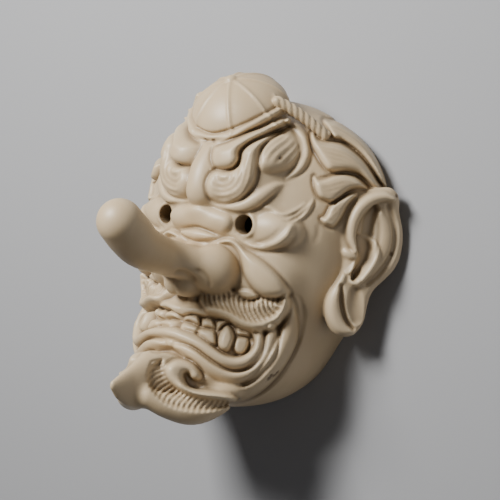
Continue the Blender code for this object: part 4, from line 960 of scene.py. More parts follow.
@dataclass(frozen=True)
class Mouth:
    """The bared teeth and the tusk in the mouth's recess, and the moustache over them."""

    opening: tuple = ((158, 303), (167, 307), (175, 311), (183, 314.5), (191, 313), (200, 314.5),
                      (212, 316.5), (222, 318.5), (231, 322.5), (238, 327), (246, 330.5), (253, 334),
                      (255, 341), (253.5, 347), (249, 352.5), (242, 356.8), (234, 358), (225, 356),
                      (217, 351.5), (209, 344.5), (200, 338), (193, 334), (185, 331.5), (177, 328.5),
                      (168, 327), (160, 325.5), (153, 329), (150, 326), (151, 315), (154, 307))
    teeth: tuple = (((183.5, 317), (187, 314.5), (192, 313.8), (197, 315), (200, 318), (200.3, 326),
                     (194, 323.8), (188, 321.2), (183.5, 321.5)),
                    ((201.5, 320), (205.5, 317.8), (211, 318.3), (214.5, 321.5), (216, 329.3),
                     (208, 328), (201.5, 326.5)),
                    ((216, 322.5), (221, 319.8), (228, 321), (231, 324), (225, 325), (220, 329.5),
                     (217.5, 333), (216, 328)),
                    ((236, 328), (242, 330), (249.5, 332.5), (250, 337), (243, 336), (236.5, 335)),
                    ((180.5, 325), (184, 322), (191, 323), (199, 327.4), (197.6, 333.5), (190, 332.2),
                     (184, 330.6), (180, 328.6)),
                    ((198.6, 328.6), (205, 328.4), (213, 329.8), (216, 334), (216.5, 345.5), (210, 344),
                     (203, 339), (197.4, 334.4)),
                    ((235.8, 337.4), (241, 336.6), (248.4, 338.2), (249.4, 344), (246.4, 352),
                     (240.6, 355.2), (234.4, 352), (232.6, 346)),
                    ((250.4, 339.6), (253.8, 340.5), (253.2, 346), (250.4, 350.6), (247.8, 352),
                     (249.6, 345)))
    tusk: tuple = ((217.6, 338), (220.6, 330), (226, 324.6), (231.4, 327), (234.4, 333), (234.8, 340.4),
                   (232.2, 347.4), (228, 352), (222, 351), (217.6, 346))
    flutes: tuple = ((202, 299), (205, 292), (213, 289), (222, 288), (230, 291), (238, 297.4),
                     (248, 301.6), (258, 300.6), (266, 300), (276, 300.4), (284, 300.4), (284.4, 305.6),
                     (279, 313.6), (272, 319), (263, 322.4), (254, 323), (245, 320.6), (236, 316),
                     (226, 311), (216, 308.4), (206, 306))
    moustache: tuple = ((198, 300), (201, 292), (209, 287), (219, 285), (228, 287), (236, 293),
                        (243, 299), (252, 300.6), (260, 298), (270, 299), (280, 298.5), (286, 292.5),
                        (289.8, 297), (291, 304), (289.4, 312), (284.6, 321), (277, 328), (266, 332),
                        (255, 332.4), (245, 330), (236, 326), (228, 321.5), (218, 317.5), (208, 314),
                        (202, 308))

    def carve(self, b: Block) -> None:
        """Sink the mouth, set its teeth and lay the moustache over it.

        Args:
            b: The block to carve.
        """
        b.emboss(self.opening, -6.5, 3.0)
        for tooth in self.teeth:
            b.emboss(tooth, 4.6, 4.0, 1.2, 1.6, 12.0)
        b.emboss(self.tusk, 7.4, 6.0, 1.2, 1.6, 12.0)
        b.roll([(174, 305, 2.5), (184, 309, 4), (195, 309.5, 4), (206, 311.5, 4)], 0.6)
        b.emboss(self.moustache, 6.6, 8.0, 1.6, deep=13.0)
        b.emboss(self.flutes, -2.8, 4.0, deep=13.0)
        b.comb([(204, 295), (211, 290.6), (219, 289.6), (228, 291.6), (237, 297), (246, 300.4),
                (254, 300), (262, 298.6), (270, 299), (278, 299.5)],
               [(206, 306), (216, 308), (226, 310.5), (236, 315.5), (245, 320.4), (254, 322.6),
                (262, 322), (270, 319), (277, 314), (282, 304)], 16, ((-1.0, 0.0), (-2.8, 1.6)), 2.3,
               3.0)


@dataclass(frozen=True)
class Beard:
    """The beard, keeled like a bow, with its rolled edge, its strands and the comma curl on the chin."""

    keel: tuple = ((-10.0, 40.0, -112.0, 15.0), (0.0, 38.0, -111.0, 17.0), (15.0, 31.0, -110.0, 18.5),
                   (30.0, 21.0, -109.0, 19.5), (42.0, 13.0, -108.5, 19.5), (50.0, 9.0, -111.0, 17.4),
                   (60.0, 5.6, -112.8, 12.8), (70.0, 3.4, -112.6, 7.4), (76.5, 1.4, -111.0, 2.2))

    curl: tuple = ((165, 369), (169, 362.4), (177, 359), (186, 359.4), (194, 362.6), (200.4, 369),
                   (203, 375.6), (201.4, 380.4), (196, 381.6), (190.4, 379), (187.6, 374.4), (185, 375),
                   (186.2, 380.4), (190.2, 385.6), (197, 388.4), (206, 389.6), (216, 391), (228, 393.4),
                   (238, 397.6), (235, 402), (222, 401), (210, 400), (198, 398), (186, 394), (175, 388),
                   (167.6, 380))
    flutes: tuple = ((161.6, 361), (157, 361.4), (151, 366.6), (147.6, 377), (150.6, 389.4),
                     (158, 398.4), (168, 405), (179, 409), (191, 411), (204, 411.6), (217, 410),
                     (231, 405.6), (232, 402.6), (222, 402), (210, 401), (198, 399.2), (186, 395.4),
                     (175, 389.4), (166.4, 380.6), (163.6, 370))

    def carve(self, b: Block) -> None:
        """Carve the keel, the lobes beside it, the curl and the fluted hair under it.

        Args:
            b: The block to carve.
        """
        k = np.array(self.keel)
        cut = b.window((-9, -150, -12), (60, -70, 84))
        x, y, z = b.coords(cut)
        wide, middle, tall = (np.interp(z, k[:, 0], k[:, i]).astype(np.float32) for i in (1, 2, 3))
        g = (np.sqrt((x / wide) ** 2 + ((y - middle) / tall) ** 2) - 1.0) * np.minimum(wide, tall)
        g = np.maximum(g, z - k[-1, 0])
        b.apply(cut, g, 3.0)
        b.tube([(8, -118, 48, 8), (17, -122, 36, 10.6), (26, -123.5, 23, 12), (34, -119, 10, 10),
                (38, -112, 0, 8)], 4)
        b.emboss(self.curl, 6.4, 8.5, 1.6)
        b.line([(187.5, 374), (187.4, 379), (190.5, 384), (196, 387.6), (204, 389.6)], 1.5, 4.0)
        b.line([(189, 376), (193, 381.4), (199, 383.6), (205, 383)], 1.8, 3.6)
        b.emboss([(150, 351), (155, 347.5), (162, 345.5), (170, 346), (176, 349), (182, 355),
                  (184, 358.5), (176, 356), (167, 353.5), (158, 354)], -4.0, 3.0)
        b.emboss(self.flutes, -3.0, 4.0)
        b.comb([(162, 360.5), (163, 368), (165.5, 377), (171, 385.5), (179, 391.6), (188, 396),
                (198, 399), (210, 400.8), (222, 401.4), (232, 402.5)],
               [(150, 366), (146.5, 378), (150.5, 390), (158, 399), (168, 405.5), (179, 409.4),
                (191, 411.4), (204, 412), (217, 410.4), (231, 405.5)], 21, ((-3.6, -1.6), (-1.6, 2.4)),
               2.1, 2.4)


@dataclass(frozen=True)
class Locks:
    """The flame-shaped locks over the temple, their tips to the front, and the hair behind them."""

    crown: tuple = ((323, 119.5), (329, 120.5), (337, 121), (346, 125.5), (357, 133), (367, 142.5),
                    (375.5, 154), (382.5, 168), (387, 181), (388, 189), (383, 187.5), (378, 179),
                    (370, 166), (362, 155.5), (352, 146.8), (341, 140.6), (333, 138.6), (327, 130))
    temple: tuple = ((312.5, 130), (315, 134), (319, 138.6), (326, 140.6), (334, 141.6), (343, 144),
                     (353, 150), (363, 159), (371, 169.5), (378, 181), (384, 189), (374, 188.5),
                     (366, 181), (357, 174.4), (346, 172), (335, 172.6), (327, 170.6), (321, 163.4),
                     (316, 155), (311.2, 146), (309.8, 138))
    middle: tuple = ((314, 175.4), (318.6, 178.6), (326, 177.6), (334, 174.8), (345, 173.8),
                     (356, 176.4), (364, 182.4), (369, 190), (362, 189), (354, 189.6), (347, 192.6),
                     (340, 198.4), (332, 202.6), (324, 201), (318, 197), (314.4, 189.4), (313, 182))
    low: tuple = ((320.4, 218), (324, 216.6), (327, 212), (330, 206), (336, 201), (344, 196.4),
                  (353, 192.6), (358, 194.4), (353, 200), (347, 208), (343, 216.4), (338, 224),
                  (333, 228), (327, 226.6), (322.4, 223.2))

    def carve(self, b: Block) -> None:
        """Carve the locks from the crown down.

        Args:
            b: The block to carve.
        """
        b.line([(303, 109), (322, 115), (342, 123), (360, 137), (374, 154), (384, 176)], 1.4, 1.4)
        b.emboss(self.crown, 4.0, 6.0, 1.6)
        b.strands([(325, 121), (338, 122.5), (353, 131), (367, 144.5), (379, 163), (385.5, 183)],
                  [(327, 128.5), (338, 138), (352, 145.5), (364, 156), (376, 174), (383.5, 186)], 4,
                  0.9, 1.2)
        b.emboss(self.temple, 6.4, 9.0, 2.2)
        b.strands([(314, 134), (323, 142), (336, 144), (350, 150.5), (363, 162.5), (378, 184)],
                  [(312.5, 143), (323, 161), (336, 170), (350, 171.5), (363, 178.5), (374, 187)], 6,
                  0.9, 1.3)
        b.emboss(self.low, 4.4, 5.0, 1.6)
        b.strands([(324, 217.6), (331, 210), (340, 202), (351, 195)],
                  [(324.5, 223), (333, 223.6), (341, 213), (351, 200)], 2, 0.8, 0.9)
        b.emboss(self.middle, 5.6, 7.0, 2.2)
        b.strands([(316.5, 180), (326, 181), (338, 177), (351, 177), (364, 185)],
                  [(316.5, 188), (326, 197.5), (338, 196), (350, 189.6), (361, 187.6)], 4, 0.9, 1.3)


@dataclass(frozen=True)
class Ear:
    """The pointed ear with its long lobe, standing out from the side of the head.

    Attributes:
        foot: A point of the ear's plane.
        face: The direction that the plane faces.
        thickness: Thickness of the plate behind the plane.
        near: How far from the plane the ear's wood lies.
        round_edge: Width of the plate's rounded edge.
        outline: The ear's edge, in marks.
        ridges: Lines of marks (u, v, radius) that stand up, each with its height at the end.
        dips: Lines of marks (u, v, radius) that are sunk, each with its depth at the end.
    """

    foot: tuple[float, float, float] = (81.0, 5.0, -43.0)
    face: tuple[float, float, float] = (0.745, 0.0, 0.667)
    thickness: float = 9.0
    near: float = 16.0
    round_edge: float = 5.0
    outline: tuple = ((337, 228), (341, 214.5), (350, 202), (362, 192.8), (375, 188.6), (389, 187.4),
                      (394.6, 190.4), (398.4, 195), (399.6, 203), (399.4, 212), (401.4, 222),
                      (403, 233), (402.6, 245), (400, 258), (395, 268.4), (389, 275.6), (380, 284),
                      (374, 290), (370, 297), (367.6, 305), (366, 313), (363.6, 322), (358, 331),
                      (350, 336.4), (341, 336.6), (333.4, 332.4), (328.6, 325), (325.6, 315),
                      (325.6, 303), (329.6, 291.6), (337, 281), (342.4, 270), (343, 258), (339.8, 248),
                      (337, 238))
    ridges: tuple = (((379, 213, 3.0), (384, 227, 5.6), (384, 242, 6.6), (379, 256, 6.4),
                      (370, 268, 5.6), (360, 278, 3.6), 2.0),
                     ((353.4, 250, 2.6), (349.4, 236, 5.2), (351.4, 221.6, 6.2), (358.4, 208.4, 6.6),
                      (369.4, 199.6, 6.2), (382, 196.6, 5.0), (391, 199, 3.0), 5.2),
                     ((363, 236, 2.0), (370, 239.6, 3.2), (374.4, 249, 3.6), (372, 261, 3.6),
                      (364.6, 273, 3.6), (356, 282.4, 3.2), (350.4, 281.6, 2.2), (349.4, 276, 1.4),
                      2.8),
                     ((344, 253, 4.4), (351, 255, 4.6), (357.4, 256.6, 3.6), (353.6, 264.6, 3.0),
                      (347.4, 272, 2.0), 2.8),
                     ((341, 275, 4.0), (335, 287, 6.4), (332.4, 302, 7.6), (334.6, 317, 7.6),
                      (342, 328, 6.4), (352, 332, 3.6), 2.6))
    dips: tuple = (((374, 208.6, 4.0), (369, 218, 6.4), (366.6, 230, 7.0), (365.4, 243, 7.6),
                    (361.4, 256, 6.4), (356.4, 268, 4.6), (351.6, 278, 3.0), 4.4),
                   ((357.6, 237, 3.6), (359, 247.4, 4.4), 5.0),
                   ((387, 206, 2.6), (392.6, 222, 3.4), (393.6, 238, 3.6), (391, 252, 3.6),
                    (385, 264, 3.6), (376, 275, 3.4), (366, 284, 2.4), 1.8),
                   ((340, 285, 2.2), (340, 301, 3.2), (344.4, 318, 3.2), (352.4, 329, 2.2), 3.4),
                   ((354, 292, 6.0), (354.6, 306, 8.6), (356.4, 318, 6.6), 2.6))

    def place(self, b: Block, marks: Rows, lift: float = 0.0) -> Rows:
        """Marks (u, v) laid on the ear's own plane: rows (x, y, z).

        Args:
            b: The block, for its drawing.
            marks: Rows (u, v).
            lift: Height above the plane.

        Returns:
            One row to a mark.
        """
        foot, face, eye = np.array(self.foot), np.array(self.face), b.drawing.eye()
        d = b.drawing.sight(marks)
        t = ((foot + face * lift - eye) @ face) / (d @ face)
        return eye + d * t[:, None]

    def carve(self, b: Block) -> None:
        """Carve the ear's plate, its rim and the relief in it.

        Args:
            b: The block to carve.
        """
        foot, face = np.array(self.foot), np.array(self.face)
        side = np.cross([0.0, 1.0, 0.0], face)
        cut = b.window((40, -90, -95), (124, 60, 0))
        x, y, z = b.coords(cut)
        x, y, z = np.broadcast_arrays(x, y, z)
        lift = (x - foot[0]) * face[0] + (z - foot[2]) * face[2]
        near = np.nonzero(np.abs(lift) < self.near)
        p = np.column_stack([x[near], y[near], z[near]]).astype(float)
        s, t = (p - foot) @ side, p[:, 1]
        w = lift[near]
        rim = self.flat(b, ring(self.outline), foot, side)
        d = inside(rim, s, t)
        top = 3.0 * (1.0 - (1.0 - np.clip(d / self.round_edge, 0.0, 1.0)) ** 2.0)
        for rows, sign in [(r, 1.0) for r in self.ridges] + [(r, -1.0) for r in self.dips]:
            m = spline(rows[:-1])
            q = self.flat(b, m[:, :2], foot, side)
            k, _ = beside(np.column_stack([q, 0.68 * m[:, 2]]), s, t)
            top = top + sign * rows[-1] * np.sqrt(np.clip(1.0 - k * k, 0.0, 1.0))
        under = -w - self.thickness + 0.2 * np.clip(4.0 - d, 0.0, 4.0) ** 2
        g = np.maximum(np.maximum(w - top, under), -d)
        plate = np.full(x.shape, FAR, np.float32)
        plate[near] = g
        b.tube(self.rows(b, [(354, 262, 13), (352, 240, 14), (358, 218, 12)], -13.0), 4)
        b.apply(cut, plate, 1.2)

    def flat(self, b: Block, marks: Rows, foot: Rows, side: Rows) -> Rows:
        """Marks laid on the ear's plane, as rows (across, up) in that plane.

        Args:
            b: The block, for its drawing.
            marks: Rows (u, v).
            foot: A point of the plane.
            side: The direction across the plane.

        Returns:
            One row to a mark.
        """
        p = self.place(b, marks)
        return np.column_stack([(p - foot) @ side, p[:, 1]])

    def rows(self, b: Block, marks: Marks, lift: float) -> Rows:
        """Marks (u, v, radius) laid above the ear's plane: rows (x, y, z, radius).

        Args:
            b: The block, for its drawing.
            marks: The marks.
            lift: Height above the plane.

        Returns:
            One row to a mark.
        """
        m = np.asarray(marks, float)
        return np.column_stack([self.place(b, m, lift), m[:, 2]])


@dataclass(frozen=True)
class Rope:
    """The cap's twisted rope, lying back over the hair from the ring it is tied to.

    Attributes:
        line: Marks (u, v) along the rope.
        radius: The rope's radius.
        twist: Turn of the strands along the rope, in radians a part.
        strands: How many strands it has.
    """

    line: tuple = ((276, 101), (286, 106), (296, 112), (306, 119), (316, 127), (326, 136))
    radius: float = 3.9
    twist: float = 0.42
    strands: int = 3

    def carve(self, b: Block) -> None:
        """Carve the rope's strands about its line.

        Args:
            b: The block to carve.
        """
        eye = b.drawing.eye()
        laid = b.lay(spline(self.line, 8), 0.6) - eye
        far = np.linalg.norm(laid, axis=1)
        near = np.minimum(far, np.linspace(far[0], far[-1], len(far)))
        rows = eye + laid * (near / far)[:, None]
        b.apply(*b.tube_field(np.column_stack([rows, np.full(len(rows), self.radius - 1.2)]), 3.0), 0.6)
        run = np.concatenate([[0.0], np.cumsum(np.linalg.norm(np.diff(rows, axis=0), axis=1))])
        ahead = np.gradient(rows, axis=0)
        ahead /= np.linalg.norm(ahead, axis=1)[:, None]
        out = b.drawing.axes()[2] - ahead * (ahead @ b.drawing.axes()[2])[:, None]
        out /= np.linalg.norm(out, axis=1)[:, None]
        over = np.cross(ahead, out)
        for k in range(self.strands):
            a = self.twist * run + TURN * k / self.strands
            turn = out * np.cos(a)[:, None] + over * np.sin(a)[:, None]
            thick = np.full(len(rows), 0.56 * self.radius)
            strand = np.column_stack([rows + 0.5 * self.radius * turn, thick])
            cut, g = b.tube_field(strand, 3.0)
            b.apply(cut, g, 0.2)
        b.ball(b.lay([(273.5, 100)], -1.8)[0], (2.2, 4.2, 3.0), 0.6)


@dataclass(frozen=True)
class Pits:
    """Small pits and nicks that the wood has picked up.

    Attributes:
        marks: Places of the pits.
        radius: A pit's radius.
        nick: Place of the nick in the hair's edge.
    """

    marks: tuple = ((268.5, 378.5), (271, 375.5), (274, 375.5), (277, 372.5), (391, 254), (396.5, 196),
                    (335.5, 204), (280, 158.5), (214, 140))
    radius: float = 0.9
    nick: tuple[float, float] = (336, 121.5)

    def carve(self, b: Block) -> None:
        """Sink the pits.

        Args:
            b: The block to carve.
        """
        for p in b.lay(self.marks):
            b.ball(p, (self.radius,) * 3, 0.3, work=Work.TAKE)
        b.ball(b.lay([self.nick])[0], (2.2, 2.0, 2.2), 0.6, work=Work.TAKE)


def carve(step: float, wall: float, floor: float, spacing: float) -> Block:
    """The whole left half, carved.

    Args:
        step: Step of the grid, in parts.
        wall: Thickness left behind the face, in parts.
        floor: The grid's lowest level, in parts.
        spacing: Between the axes of the pupils' bores, in parts.

    Returns:
        The carved block, without its bores.
    """
    b = Block(step, (0.0, -152.0, floor), (124.0, 112.0, 112.0))
    head = Head()
    head.carve(b)
    Cap().carve(b)
    Cheek().carve(b)
    Bridge().carve(b)
    Brow().carve(b)
    Eye().carve(b, spacing)
    Mouth().carve(b)
    Nose().carve(b)
    Beard().carve(b)
    Locks().carve(b)
    Ear().carve(b)
    b.soften()
    Rope().carve(b)
    Pits().carve(b)
    head.hollow(b, wall)
    return b


@dataclass(frozen=True)
class WoodFinish:
    """Pale bare wood, sanded to a soft sheen, with painted shade in its creases, hollows and bores.

    Attributes:
        pale: Colour of the clean, raised wood.
        warm: Colour of the slow bands across the block.
        raised_edge_colour: A lighter colour laid on the raised edges.
        shade_and_pit_colour: Colour of the painted shade in the creases, hollows and bores, and of the
            darker spots about the pits.
        roughness: Mean roughness.
    """

    pale: tuple[float, float, float] = (0.565, 0.435, 0.27)
    warm: tuple[float, float, float] = (0.485, 0.355, 0.20)
    raised_edge_colour: tuple[float, float, float] = (0.65, 0.53, 0.35)
    shade_and_pit_colour: tuple[float, float, float] = (0.145, 0.09, 0.042)
    roughness: float = 0.44

    def noise(self, tree: bpy.types.NodeTree, vector: bpy.types.NodeSocket, scale: float,
              detail: float) -> bpy.types.NodeSocket:
        """Add a noise and give its value.

        Args:
            tree: The material's nodes.
            vector: Where the noise is read.
            scale: Its scale.
            detail: Its detail.

        Returns:
            The noise's value.
        """
        noise = tree.nodes.new("ShaderNodeTexNoise")
        noise.inputs["Scale"].default_value = scale
        noise.inputs["Detail"].default_value = detail
        tree.links.new(vector, noise.inputs["Vector"])
        return noise.outputs["Fac"]

    def share(self, tree: bpy.types.NodeTree, value: bpy.types.NodeSocket, low: float, high: float,
              most: float) -> bpy.types.NodeSocket:
        """Turn a value's range into a share from nothing to the most.

        Args:
            tree: The material's nodes.
            value: The value.
            low: The value that gives nothing.
            high: The value that gives the most.
            most: The largest share.

        Returns:
            The share.
        """
        share = tree.nodes.new("ShaderNodeMapRange")
        share.inputs["From Min"].default_value = low
        share.inputs["From Max"].default_value = high
        share.inputs["To Max"].default_value = most
        tree.links.new(value, share.inputs["Value"])
        return share.outputs["Result"]

    def over(self, tree: bpy.types.NodeTree, under: bpy.types.NodeSocket, colour: tuple[float, ...],
             share: bpy.types.NodeSocket) -> bpy.types.NodeSocket:
        """Lay a colour over another by a share.

        Args:
            tree: The material's nodes.
            under: The colour below.
            colour: The colour laid over it.
            share: How much of it covers.

        Returns:
            The mixed colour.
        """
        mix = tree.nodes.new("ShaderNodeMix")
        mix.data_type = "RGBA"
        mix.inputs["B"].default_value = (*colour, 1.0)
        tree.links.new(under, mix.inputs["A"])
        tree.links.new(share, mix.inputs["Factor"])
        return mix.outputs["Result"]

    def material(self, name: str) -> bpy.types.Material:
        """Build the material.

        Args:
            name: The material's name.

        Returns:
            The new material, reading Object coordinates and the piece's own "cut" and "edge" attributes.
        """
        mat = bpy.data.materials.new(name)
        mat.use_nodes = True
        tree = mat.node_tree
        shader = tree.nodes["Principled BSDF"]
        coords = tree.nodes.new("ShaderNodeTexCoord")
        stretch = tree.nodes.new("ShaderNodeMapping")
        stretch.inputs["Scale"].default_value = (1.0, 0.12, 1.0)
        tree.links.new(coords.outputs["Object"], stretch.inputs["Vector"])
        along = stretch.outputs["Vector"]
        fibres = self.noise(tree, along, 900.0, 3.0)
        base = tree.nodes.new("ShaderNodeRGB")
        base.outputs["Color"].default_value = (*self.pale, 1.0)
        body = self.over(tree, base.outputs["Color"], self.warm,
                         self.share(tree, self.noise(tree, along, 60.0, 4.0), 0.35, 0.75, 0.6))
        cloud = self.noise(tree, coords.outputs["Object"], 24.0, 3.0)
        body = self.over(tree, body, self.warm, self.share(tree, cloud, 0.45, 0.75, 0.5))
        # The "cut" attribute lays painted shade over creases, hollows and bores and darkens the wood
        # about the pits; the "edge" attribute lays a lighter tone on raised edges.
        for attribute, colour in (("edge", self.raised_edge_colour), ("cut", self.shade_and_pit_colour)):
            reader = tree.nodes.new("ShaderNodeAttribute")
            reader.attribute_name = attribute
            body = self.over(tree, body, colour, reader.outputs["Fac"])
        tree.links.new(body, shader.inputs["Base Color"])
        shader.inputs["Roughness"].default_value = self.roughness
        shader.inputs["Metallic"].default_value = 0.0
        bump = tree.nodes.new("ShaderNodeBump")
        bump.inputs["Strength"].default_value = 0.06
        bump.inputs["Distance"].default_value = 0.0006
        tree.links.new(fibres, bump.inputs["Height"])
        tree.links.new(bump.outputs["Normal"], shader.inputs["Normal"])
        return mat


@dataclass
class CarvedMask:
    """The mask itself, in metres, in place of the solid of the same name.

    Attributes:
        height: The drawing's height.
        parts: Parts in the height.
        wall: Thickness left behind the face.
        bore: Diameter of the pupils' bores.
        spacing: Between the bores' axes.
        rim_behind_eyes: From the pupils back to the plane of the rim.
        grain: Step of the grid, in parts.
        triangles: Triangles left on the finished piece.
        pit_darkening: How dark the wood is painted about a pit.
        pit_reach: How far from a pit's middle that darkening reaches, in parts.
        finish: The wood's finish.
        origin: The point midway between the pupils, set when the mask is built.
    """

    height: float = 0.240
    parts: float = 240.0
    wall: float = 0.011
    bore: float = 0.0128
    spacing: float = 0.069
    rim_behind_eyes: float = 0.082
    grain: float = 0.8
    triangles: int = 190000
    pit_darkening: float = 0.8
    pit_reach: float = 2.2
    finish: WoodFinish = WoodFinish()
    origin: Vector = field(default_factory=Vector)

    def build(self) -> bpy.types.Object:
        """Carve the wood and mesh it.

        Returns:
            The piece, at the origin, with its place in its mesh.
        """
        unit = self.height / self.parts
        floor = -self.rim_behind_eyes / unit
        wood = carve(self.grain, self.wall / unit, floor - 3.0 * self.grain, self.spacing / unit)
        cut = wood.everywhere()
        x, y, z = wood.coords(cut)
        across = np.sqrt((x - 0.5 * self.spacing / unit) ** 2 + y ** 2)
        wood.apply(cut, across - 0.5 * self.bore / unit, 0.5, Work.TAKE)
        wood.f = np.maximum(wood.f, floor - z)
        mesh = self.surface(wood, unit)
        self.drop_crumbs(mesh)
        points = self.points(mesh)
        low, high = (np.array(corner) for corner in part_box(NODE))
        shift = 0.5 * (low[1] + high[1]) - 0.5 * (points[:, 1].min() + points[:, 1].max())
        self.origin = Vector((0.0, shift, self.rim_behind_eyes))
        points[:, 1] += shift
        points = np.clip(points, low, high)
        mesh.vertices.foreach_set("co", points.astype(np.float32).ravel())
        piece = bpy.data.objects.new("carved_mask", mesh)
        bpy.context.scene.collection.objects.link(piece)
        self.thin_out(piece)
        mesh.materials.append(self.finish.material(SLOT))
        mesh.shade_smooth()
        self.mark_shade_and_edges(wood, piece, unit)
        return piece

    def surface(self, wood: Block, unit: float) -> bpy.types.Mesh:
        """Mesh both halves of the wood, in metres, with the rim's plane at z = 0.

        Args:
            wood: The carved block.
            unit: Metres in a part.

        Returns:
            The mesh, with its faces outwards.
        """
        first = int(round(-wood.low[0] / wood.step))
        whole = np.ascontiguousarray(np.concatenate([wood.f[:first:-1], wood.f[first:]], 0), np.float32)
        whole[np.abs(whole) < PINCH] = PINCH
        grid = openvdb.FloatGrid(background=FAR)
        grid.copyFromArray(whole)
        grid.transform = openvdb.createLinearTransform(voxelSize=wood.step)
        points, triangles, quads = grid.convertToPolygons(isovalue=0.0, adaptivity=0.0)
        corner = np.array([-(whole.shape[0] // 2) * wood.step, wood.low[1], wood.low[2]])
        points = (points + corner) * unit
        points[:, 2] += self.rim_behind_eyes
        mesh = bpy.data.meshes.new("carved_mask")
        mesh.from_pydata(points.tolist(), [], quads.tolist() + triangles.tolist())
        mesh.update()
        return mesh

    def drop_crumbs(self, mesh: bpy.types.Mesh) -> None:
        """Drop any crumb of wood that the cuts left loose.

        Args:
            mesh: The mesh, cleaned in place.
        """
        bm = bmesh.new()
        bm.from_mesh(mesh)
        left = set(bm.verts)
        bodies = []
        while left:
            stack = [left.pop()]
            body = list(stack)
            while stack:
                for edge in stack.pop().link_edges:
                    for v in edge.verts:
                        if v in left:
                            left.discard(v)
                            stack.append(v)
                            body.append(v)
            bodies.append(body)
        bodies.sort(key=len)
        bmesh.ops.delete(bm, geom=[v for body in bodies[:-1] for v in body], context="VERTS")
        bm.to_mesh(mesh)
        bm.free()

    def points(self, mesh: bpy.types.Mesh) -> np.ndarray:
        """The mesh's points, one row each.

        Args:
            mesh: The mesh.

        Returns:
            Rows (x, y, z), in metres.
        """
        flat = np.empty(3 * len(mesh.vertices), np.float32)
        mesh.vertices.foreach_get("co", flat)
        return flat.reshape(-1, 3).astype(float)

    def thin_out(self, piece: bpy.types.Object) -> None:
        """Reduce the mesh to the wanted number of triangles.

        Args:
            piece: The piece, reduced in place.
        """
        count = sum(len(p.vertices) - 2 for p in piece.data.polygons)
        fewer = piece.modifiers.new("fewer", "DECIMATE")
        fewer.ratio = min(1.0, self.triangles / count)
        bpy.context.view_layer.objects.active = piece
        bpy.ops.object.modifier_apply(modifier=fewer.name)

    def mark_shade_and_edges(self, wood: Block, piece: bpy.types.Object, unit: float) -> None:
        """Write the attributes that the finish reads: painted shade in creases, hollows and bores, darker
        spots about the pits, and a lighter tone on raised edges.

        Args:
            wood: The carved block.
            piece: The finished piece.
            unit: Metres in a part.
        """
        local = (self.points(piece.data) - np.array(self.origin)) / unit
        close, wide = wood.openness(local, 1.8), wood.openness(local, 5.0)
        # Painted shade: the wood is darkened where its surface lies in a crease or hollow, at a close and
        # a wide reach.
        cut = np.clip(-close / 0.8, 0.0, 1.0) * 0.34 + np.clip(-wide / 3.4, 0.0, 1.0) * 0.52
        across = np.hypot(np.abs(local[:, 0]) - 0.5 * self.spacing / unit, local[:, 1])
        # Painted shade inside the pupils' bores.
        cut = cut + 0.75 * np.clip(1.5 + 0.5 * self.bore / unit - across, 0.0, 1.0)
        left = local * np.where(local[:, :1] < 0.0, (-1.0, 1.0, 1.0), 1.0)
        # Darker spots painted about the pits.
        for pit in wood.lay(Pits.marks):
            cut += self.pit_darkening * np.clip(self.pit_reach - np.linalg.norm(left - pit, axis=1), 0.0, 1.0)
        # The "edge" attribute lightens the wood where its surface stands out as an edge.
        marks = {"cut": np.clip(cut, 0.0, 0.9), "edge": np.clip(close / 0.9, 0.0, 1.0) * 0.7}
        for name, value in marks.items():
            attribute = piece.data.attributes.new(name, "FLOAT", "POINT")
            attribute.data.foreach_set("value", value.astype(np.float32))


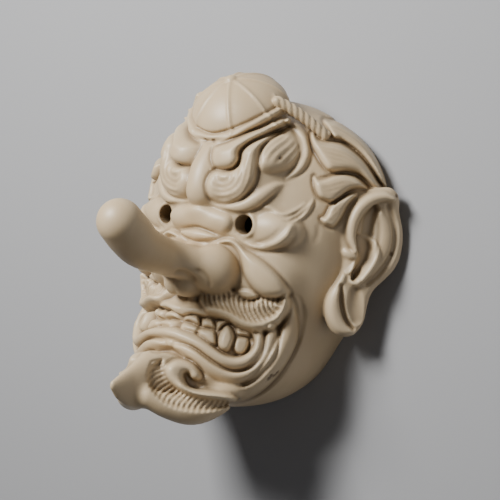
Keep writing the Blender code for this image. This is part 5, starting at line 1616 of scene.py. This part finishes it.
@dataclass
class Studio:
    """The floor, the lights and the camera.

    Attributes:
        floor_size: Side of the square floor.
        floor_colour: The floor's colour.
        key: The key light's power, in watts.
        fill: The fill light's power, in watts.
        sky: Strength of the light from all round.
    """

    floor_size: float = 6.0
    floor_colour: tuple[float, float, float] = (0.33, 0.33, 0.335)
    key: float = 27.0
    fill: float = 2.4
    sky: float = 0.3

    def floor(self) -> bpy.types.Object:
        """A plain pale floor that isn't part of the object."""
        bpy.ops.object.select_all(action="DESELECT")
        bpy.ops.mesh.primitive_plane_add(size=self.floor_size)
        floor = bpy.context.object
        floor.name = "floor"
        mat = bpy.data.materials.new("pale_floor")
        mat.use_nodes = True
        shader = mat.node_tree.nodes["Principled BSDF"]
        shader.inputs["Base Color"].default_value = (*self.floor_colour, 1.0)
        shader.inputs["Roughness"].default_value = 0.7
        floor.data.materials.append(mat)
        return floor

    def lamp(self, name: str, toward: Vector, size: float, power: float,
             distance: float) -> bpy.types.Object:
        """A square soft light that looks at the origin.

        Args:
            name: The light's name.
            toward: The direction to it from the origin.
            size: Its side, in metres.
            power: Its power, in watts.
            distance: How far off it stands, in metres.

        Returns:
            The light.
        """
        data = bpy.data.lights.new(name, "AREA")
        data.size = size
        data.energy = power
        lamp = bpy.data.objects.new(name, data)
        bpy.context.scene.collection.objects.link(lamp)
        lamp.location = toward.normalized() * distance
        lamp.rotation_euler = toward.to_track_quat("Z", "Y").to_euler()
        return lamp

    def build(self, drawing: Drawing, unit: float, origin: Vector) -> None:
        """Set the floor, the lights and the camera from the drawing's view.

        Args:
            drawing: The view.
            unit: Metres in a part.
            origin: The point midway between the pupils.
        """
        self.floor()
        right, rise, toward = (Vector(axis) for axis in drawing.axes())
        self.lamp("key", -0.85 * right + 0.7 * rise + 0.7 * toward, 0.4, self.key, 1.2)
        self.lamp("fill", 0.7 * right - 0.2 * rise + 0.8 * toward, 1.2, self.fill, 1.2)
        world = bpy.data.worlds.new("studio")
        bpy.context.scene.world = world
        world.use_nodes = True
        world.node_tree.nodes["Background"].inputs["Color"].default_value = (0.25, 0.25, 0.27, 1.0)
        world.node_tree.nodes["Background"].inputs["Strength"].default_value = self.sky
        data = bpy.data.cameras.new("camera")
        data.sensor_width = 36.0
        data.lens = 36.0 * drawing.focal / (2.0 * drawing.centre)
        camera = bpy.data.objects.new("camera", data)
        bpy.context.scene.collection.objects.link(camera)
        eye = Vector(drawing.eye()) * unit + origin
        turn = Matrix((right, rise, toward)).transposed().to_4x4()
        camera.matrix_world = Matrix.Translation(eye) @ turn
        bpy.context.scene.camera = camera


def main() -> None:
    """Carve the mask, dress it and set the studio."""
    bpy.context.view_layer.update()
    mask = CarvedMask()
    piece = mask.build()
    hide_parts(NODE)
    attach(piece, "root")
    log.info("carved_mask: %d points", len(piece.data.vertices))
    Studio().build(Drawing(), mask.height / mask.parts, mask.origin)


if __name__ == "__main__":
    logging.basicConfig(level=logging.INFO)
    main()
